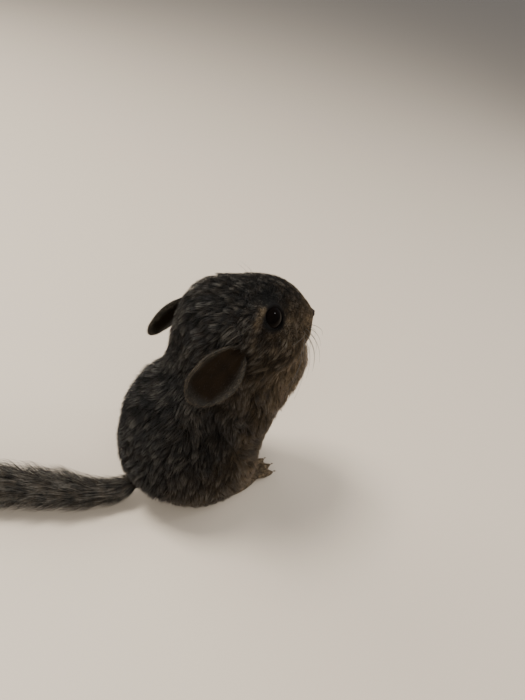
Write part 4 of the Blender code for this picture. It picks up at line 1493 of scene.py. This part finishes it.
# %% The line of the tail
TAIL = (
    # place, radius of the flesh, how far the hair stands out
    ((-28, -5, 12), 4.0, 6),
    ((-38, -5, 8.4), 3.4, 7),
    ((-52, -1.8, 8.8), 3.2, 9),
    ((-66, 3.6, 11), 3.0, 12),
    ((-79, 9.6, 12), 2.8, 12.5),
    ((-92, 16, 11.6), 2.4, 12.5),
    ((-106, 24, 10.4), 1.8, 11),
    ((-118, 32, 9), 1.0, 7),
)
TAIL_PLACES = np.array([place for place, _, _ in TAIL], float)
TAIL_SIZES = np.array([sizes for _, *sizes in TAIL], float)


def tail_at(shares):
    """Places, directions and sizes at shares of the tail's length, on a smooth curve through its places."""
    spots = np.clip(shares, 0, 1) * (len(TAIL) - 1)
    at = np.minimum(spots.astype(int), len(TAIL) - 2)
    part = (spots - at)[:, None]
    before = TAIL_PLACES[np.maximum(at - 1, 0)]
    start, end = TAIL_PLACES[at], TAIL_PLACES[at + 1]
    after = TAIL_PLACES[np.minimum(at + 2, len(TAIL) - 1)]
    lean_in, lean_out = (end - before) / 2, (after - start) / 2
    places = (start * (2 * part**3 - 3 * part**2 + 1) + lean_in * (part**3 - 2 * part**2 + part)
              + end * (3 * part**2 - 2 * part**3) + lean_out * (part**3 - part**2))
    sizes = TAIL_SIZES[at] + (TAIL_SIZES[at + 1] - TAIL_SIZES[at]) * part
    return places, unit(lean_in + (lean_out - lean_in) * part), sizes


def round_tail(directions, turns):
    """Directions square to the tail, 0 to its side and a quarter turn up."""
    across = unit(np.cross(directions, (0, 0, 1)))
    return across * np.cos(turns)[:, None] + np.cross(across, directions) * np.sin(turns)[:, None]


# %% The tail's core
CORE_STEPS = 60
CORE_SIDES = 20
CORE_MARKS = (0.05, 0.15, 0.35)

rings = []
turns = np.linspace(0, math.tau, CORE_SIDES, endpoint=False)
for place, way, (radius, _) in zip(*tail_at(np.linspace(0, 1, CORE_STEPS))):
    rings.append(place + round_tail(np.repeat(way[None], CORE_SIDES, axis=0), turns) * radius)
core = new_object("tail_core", tube_mesh("tail_core", [rings]))
store_colour(core.data, "markings", np.tile(CORE_MARKS, (len(core.data.vertices), 1)))
core.data.materials.append(SKIN_LOOK)
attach(core, "root")
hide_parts("tail_root", "tail_middle", "tail_tip")

# %% Tail hair
TAIL_TUFTS = 9500
TAIL_SHARES = (0.0, 0.35, 0.7, 1.0)
TAIL_END = 118
TAIL_AREA = 3500
TAIL_FIRST, TAIL_CROWDED = 0.02, 0.95
# How far hair sweeps towards the tip, and how far it stands out: mean, spread and limits.
TAIL_SWEEP = (9, 19)
STAND_OUT, STAND_SPREAD, STAND_LIMITS = 0.8, 0.2, (0.3, 1.12)
# Where roots lie in the flesh, and how quickly hair opens from there.
ROOT_DEPTH, OPENING = 0.8, 0.85
# Beyond its end the brush closes over this length, to this share.
BRUSH_CLOSES, BRUSH_LEAST = 30, 0.25
# Waves in the hair: their height, and how many there are round the tail and along it.
TAIL_WAVE, WAVES_ROUND, WAVES_ALONG = 0.2, 5, 40
TAIL_WIDTHS = (0.3, 0.5)
TAIL_MARKS = (0.1, 0.15, 0.2)
TAIL_CLUMP_SPACING, TAIL_PULL = 3.0, 0.25
TAIL_TONE, TAIL_CLUMP_TONE, TAIL_TUFT_TONE = 0.45, 0.3, 0.3

at = dice.uniform(TAIL_FIRST, 1.0, TAIL_TUFTS) ** TAIL_CROWDED
turns = dice.uniform(0, math.tau, TAIL_TUFTS)
sweep = dice.uniform(*TAIL_SWEEP, TAIL_TUFTS) / TAIL_END
stand = np.clip(dice.normal(STAND_OUT, STAND_SPREAD, TAIL_TUFTS), *STAND_LIMITS)
steps = []
for share in TAIL_SHARES:
    along = at + sweep * share
    past = np.maximum(along - 1, 0) * TAIL_END
    places, ways, sizes = tail_at(along)
    root = sizes[:, 0] * ROOT_DEPTH
    radius = root + (sizes[:, 1] * stand - root) * math.sin(share * math.pi / 2) ** OPENING
    radius *= np.maximum(1 - past / BRUSH_CLOSES, BRUSH_LEAST)
    lean = turns + share * TAIL_WAVE * np.sin(turns * WAVES_ROUND + at * WAVES_ALONG)
    steps.append(places + ways * past[:, None] + round_tail(ways, lean) * radius[:, None])
tail_paths = np.stack(steps, axis=1)
tail_sides = unit(np.cross(tail_paths[:, 2] - tail_paths[:, 0], round_tail(ways, turns)))
tail_widths = dice.uniform(*TAIL_WIDTHS, TAIL_TUFTS)
tail_marks = np.tile(TAIL_MARKS, (TAIL_TUFTS, 1))
tail_clumps = middles(tail_paths[:, 0], TAIL_AREA, TAIL_CLUMP_SPACING, dice)
tail_paths = gather(tail_paths, tail_clumps, np.full(TAIL_TUFTS, TAIL_PULL), TAIL_SHARES)
tail_tones = TAIL_TONE + TAIL_CLUMP_TONE * dice.random(TAIL_TUFTS)[tail_clumps]
tail_tones += TAIL_TUFT_TONE * dice.random(TAIL_TUFTS)
mesh = tuft_mesh("tail_hair", tail_paths, tail_sides, round_tail(ways, turns), tail_widths, tail_marks,
                 tail_tones, np.stack([turns, at], axis=1))
tail_hair = new_object("tail_hair", mesh, [HAIR])
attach(tail_hair, "root")
print("tail:", len(mesh.polygons), "triangles")

# %% [markdown]
# ## Finish
#
# The last lines print the size of the dressed model. Fur and whiskers may stand only a little proud of the
# solid model.

# %% Sizes and finish
low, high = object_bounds()
print("dressed model, mm:", [round(x / MM, 1) for x in (*low, *high)])
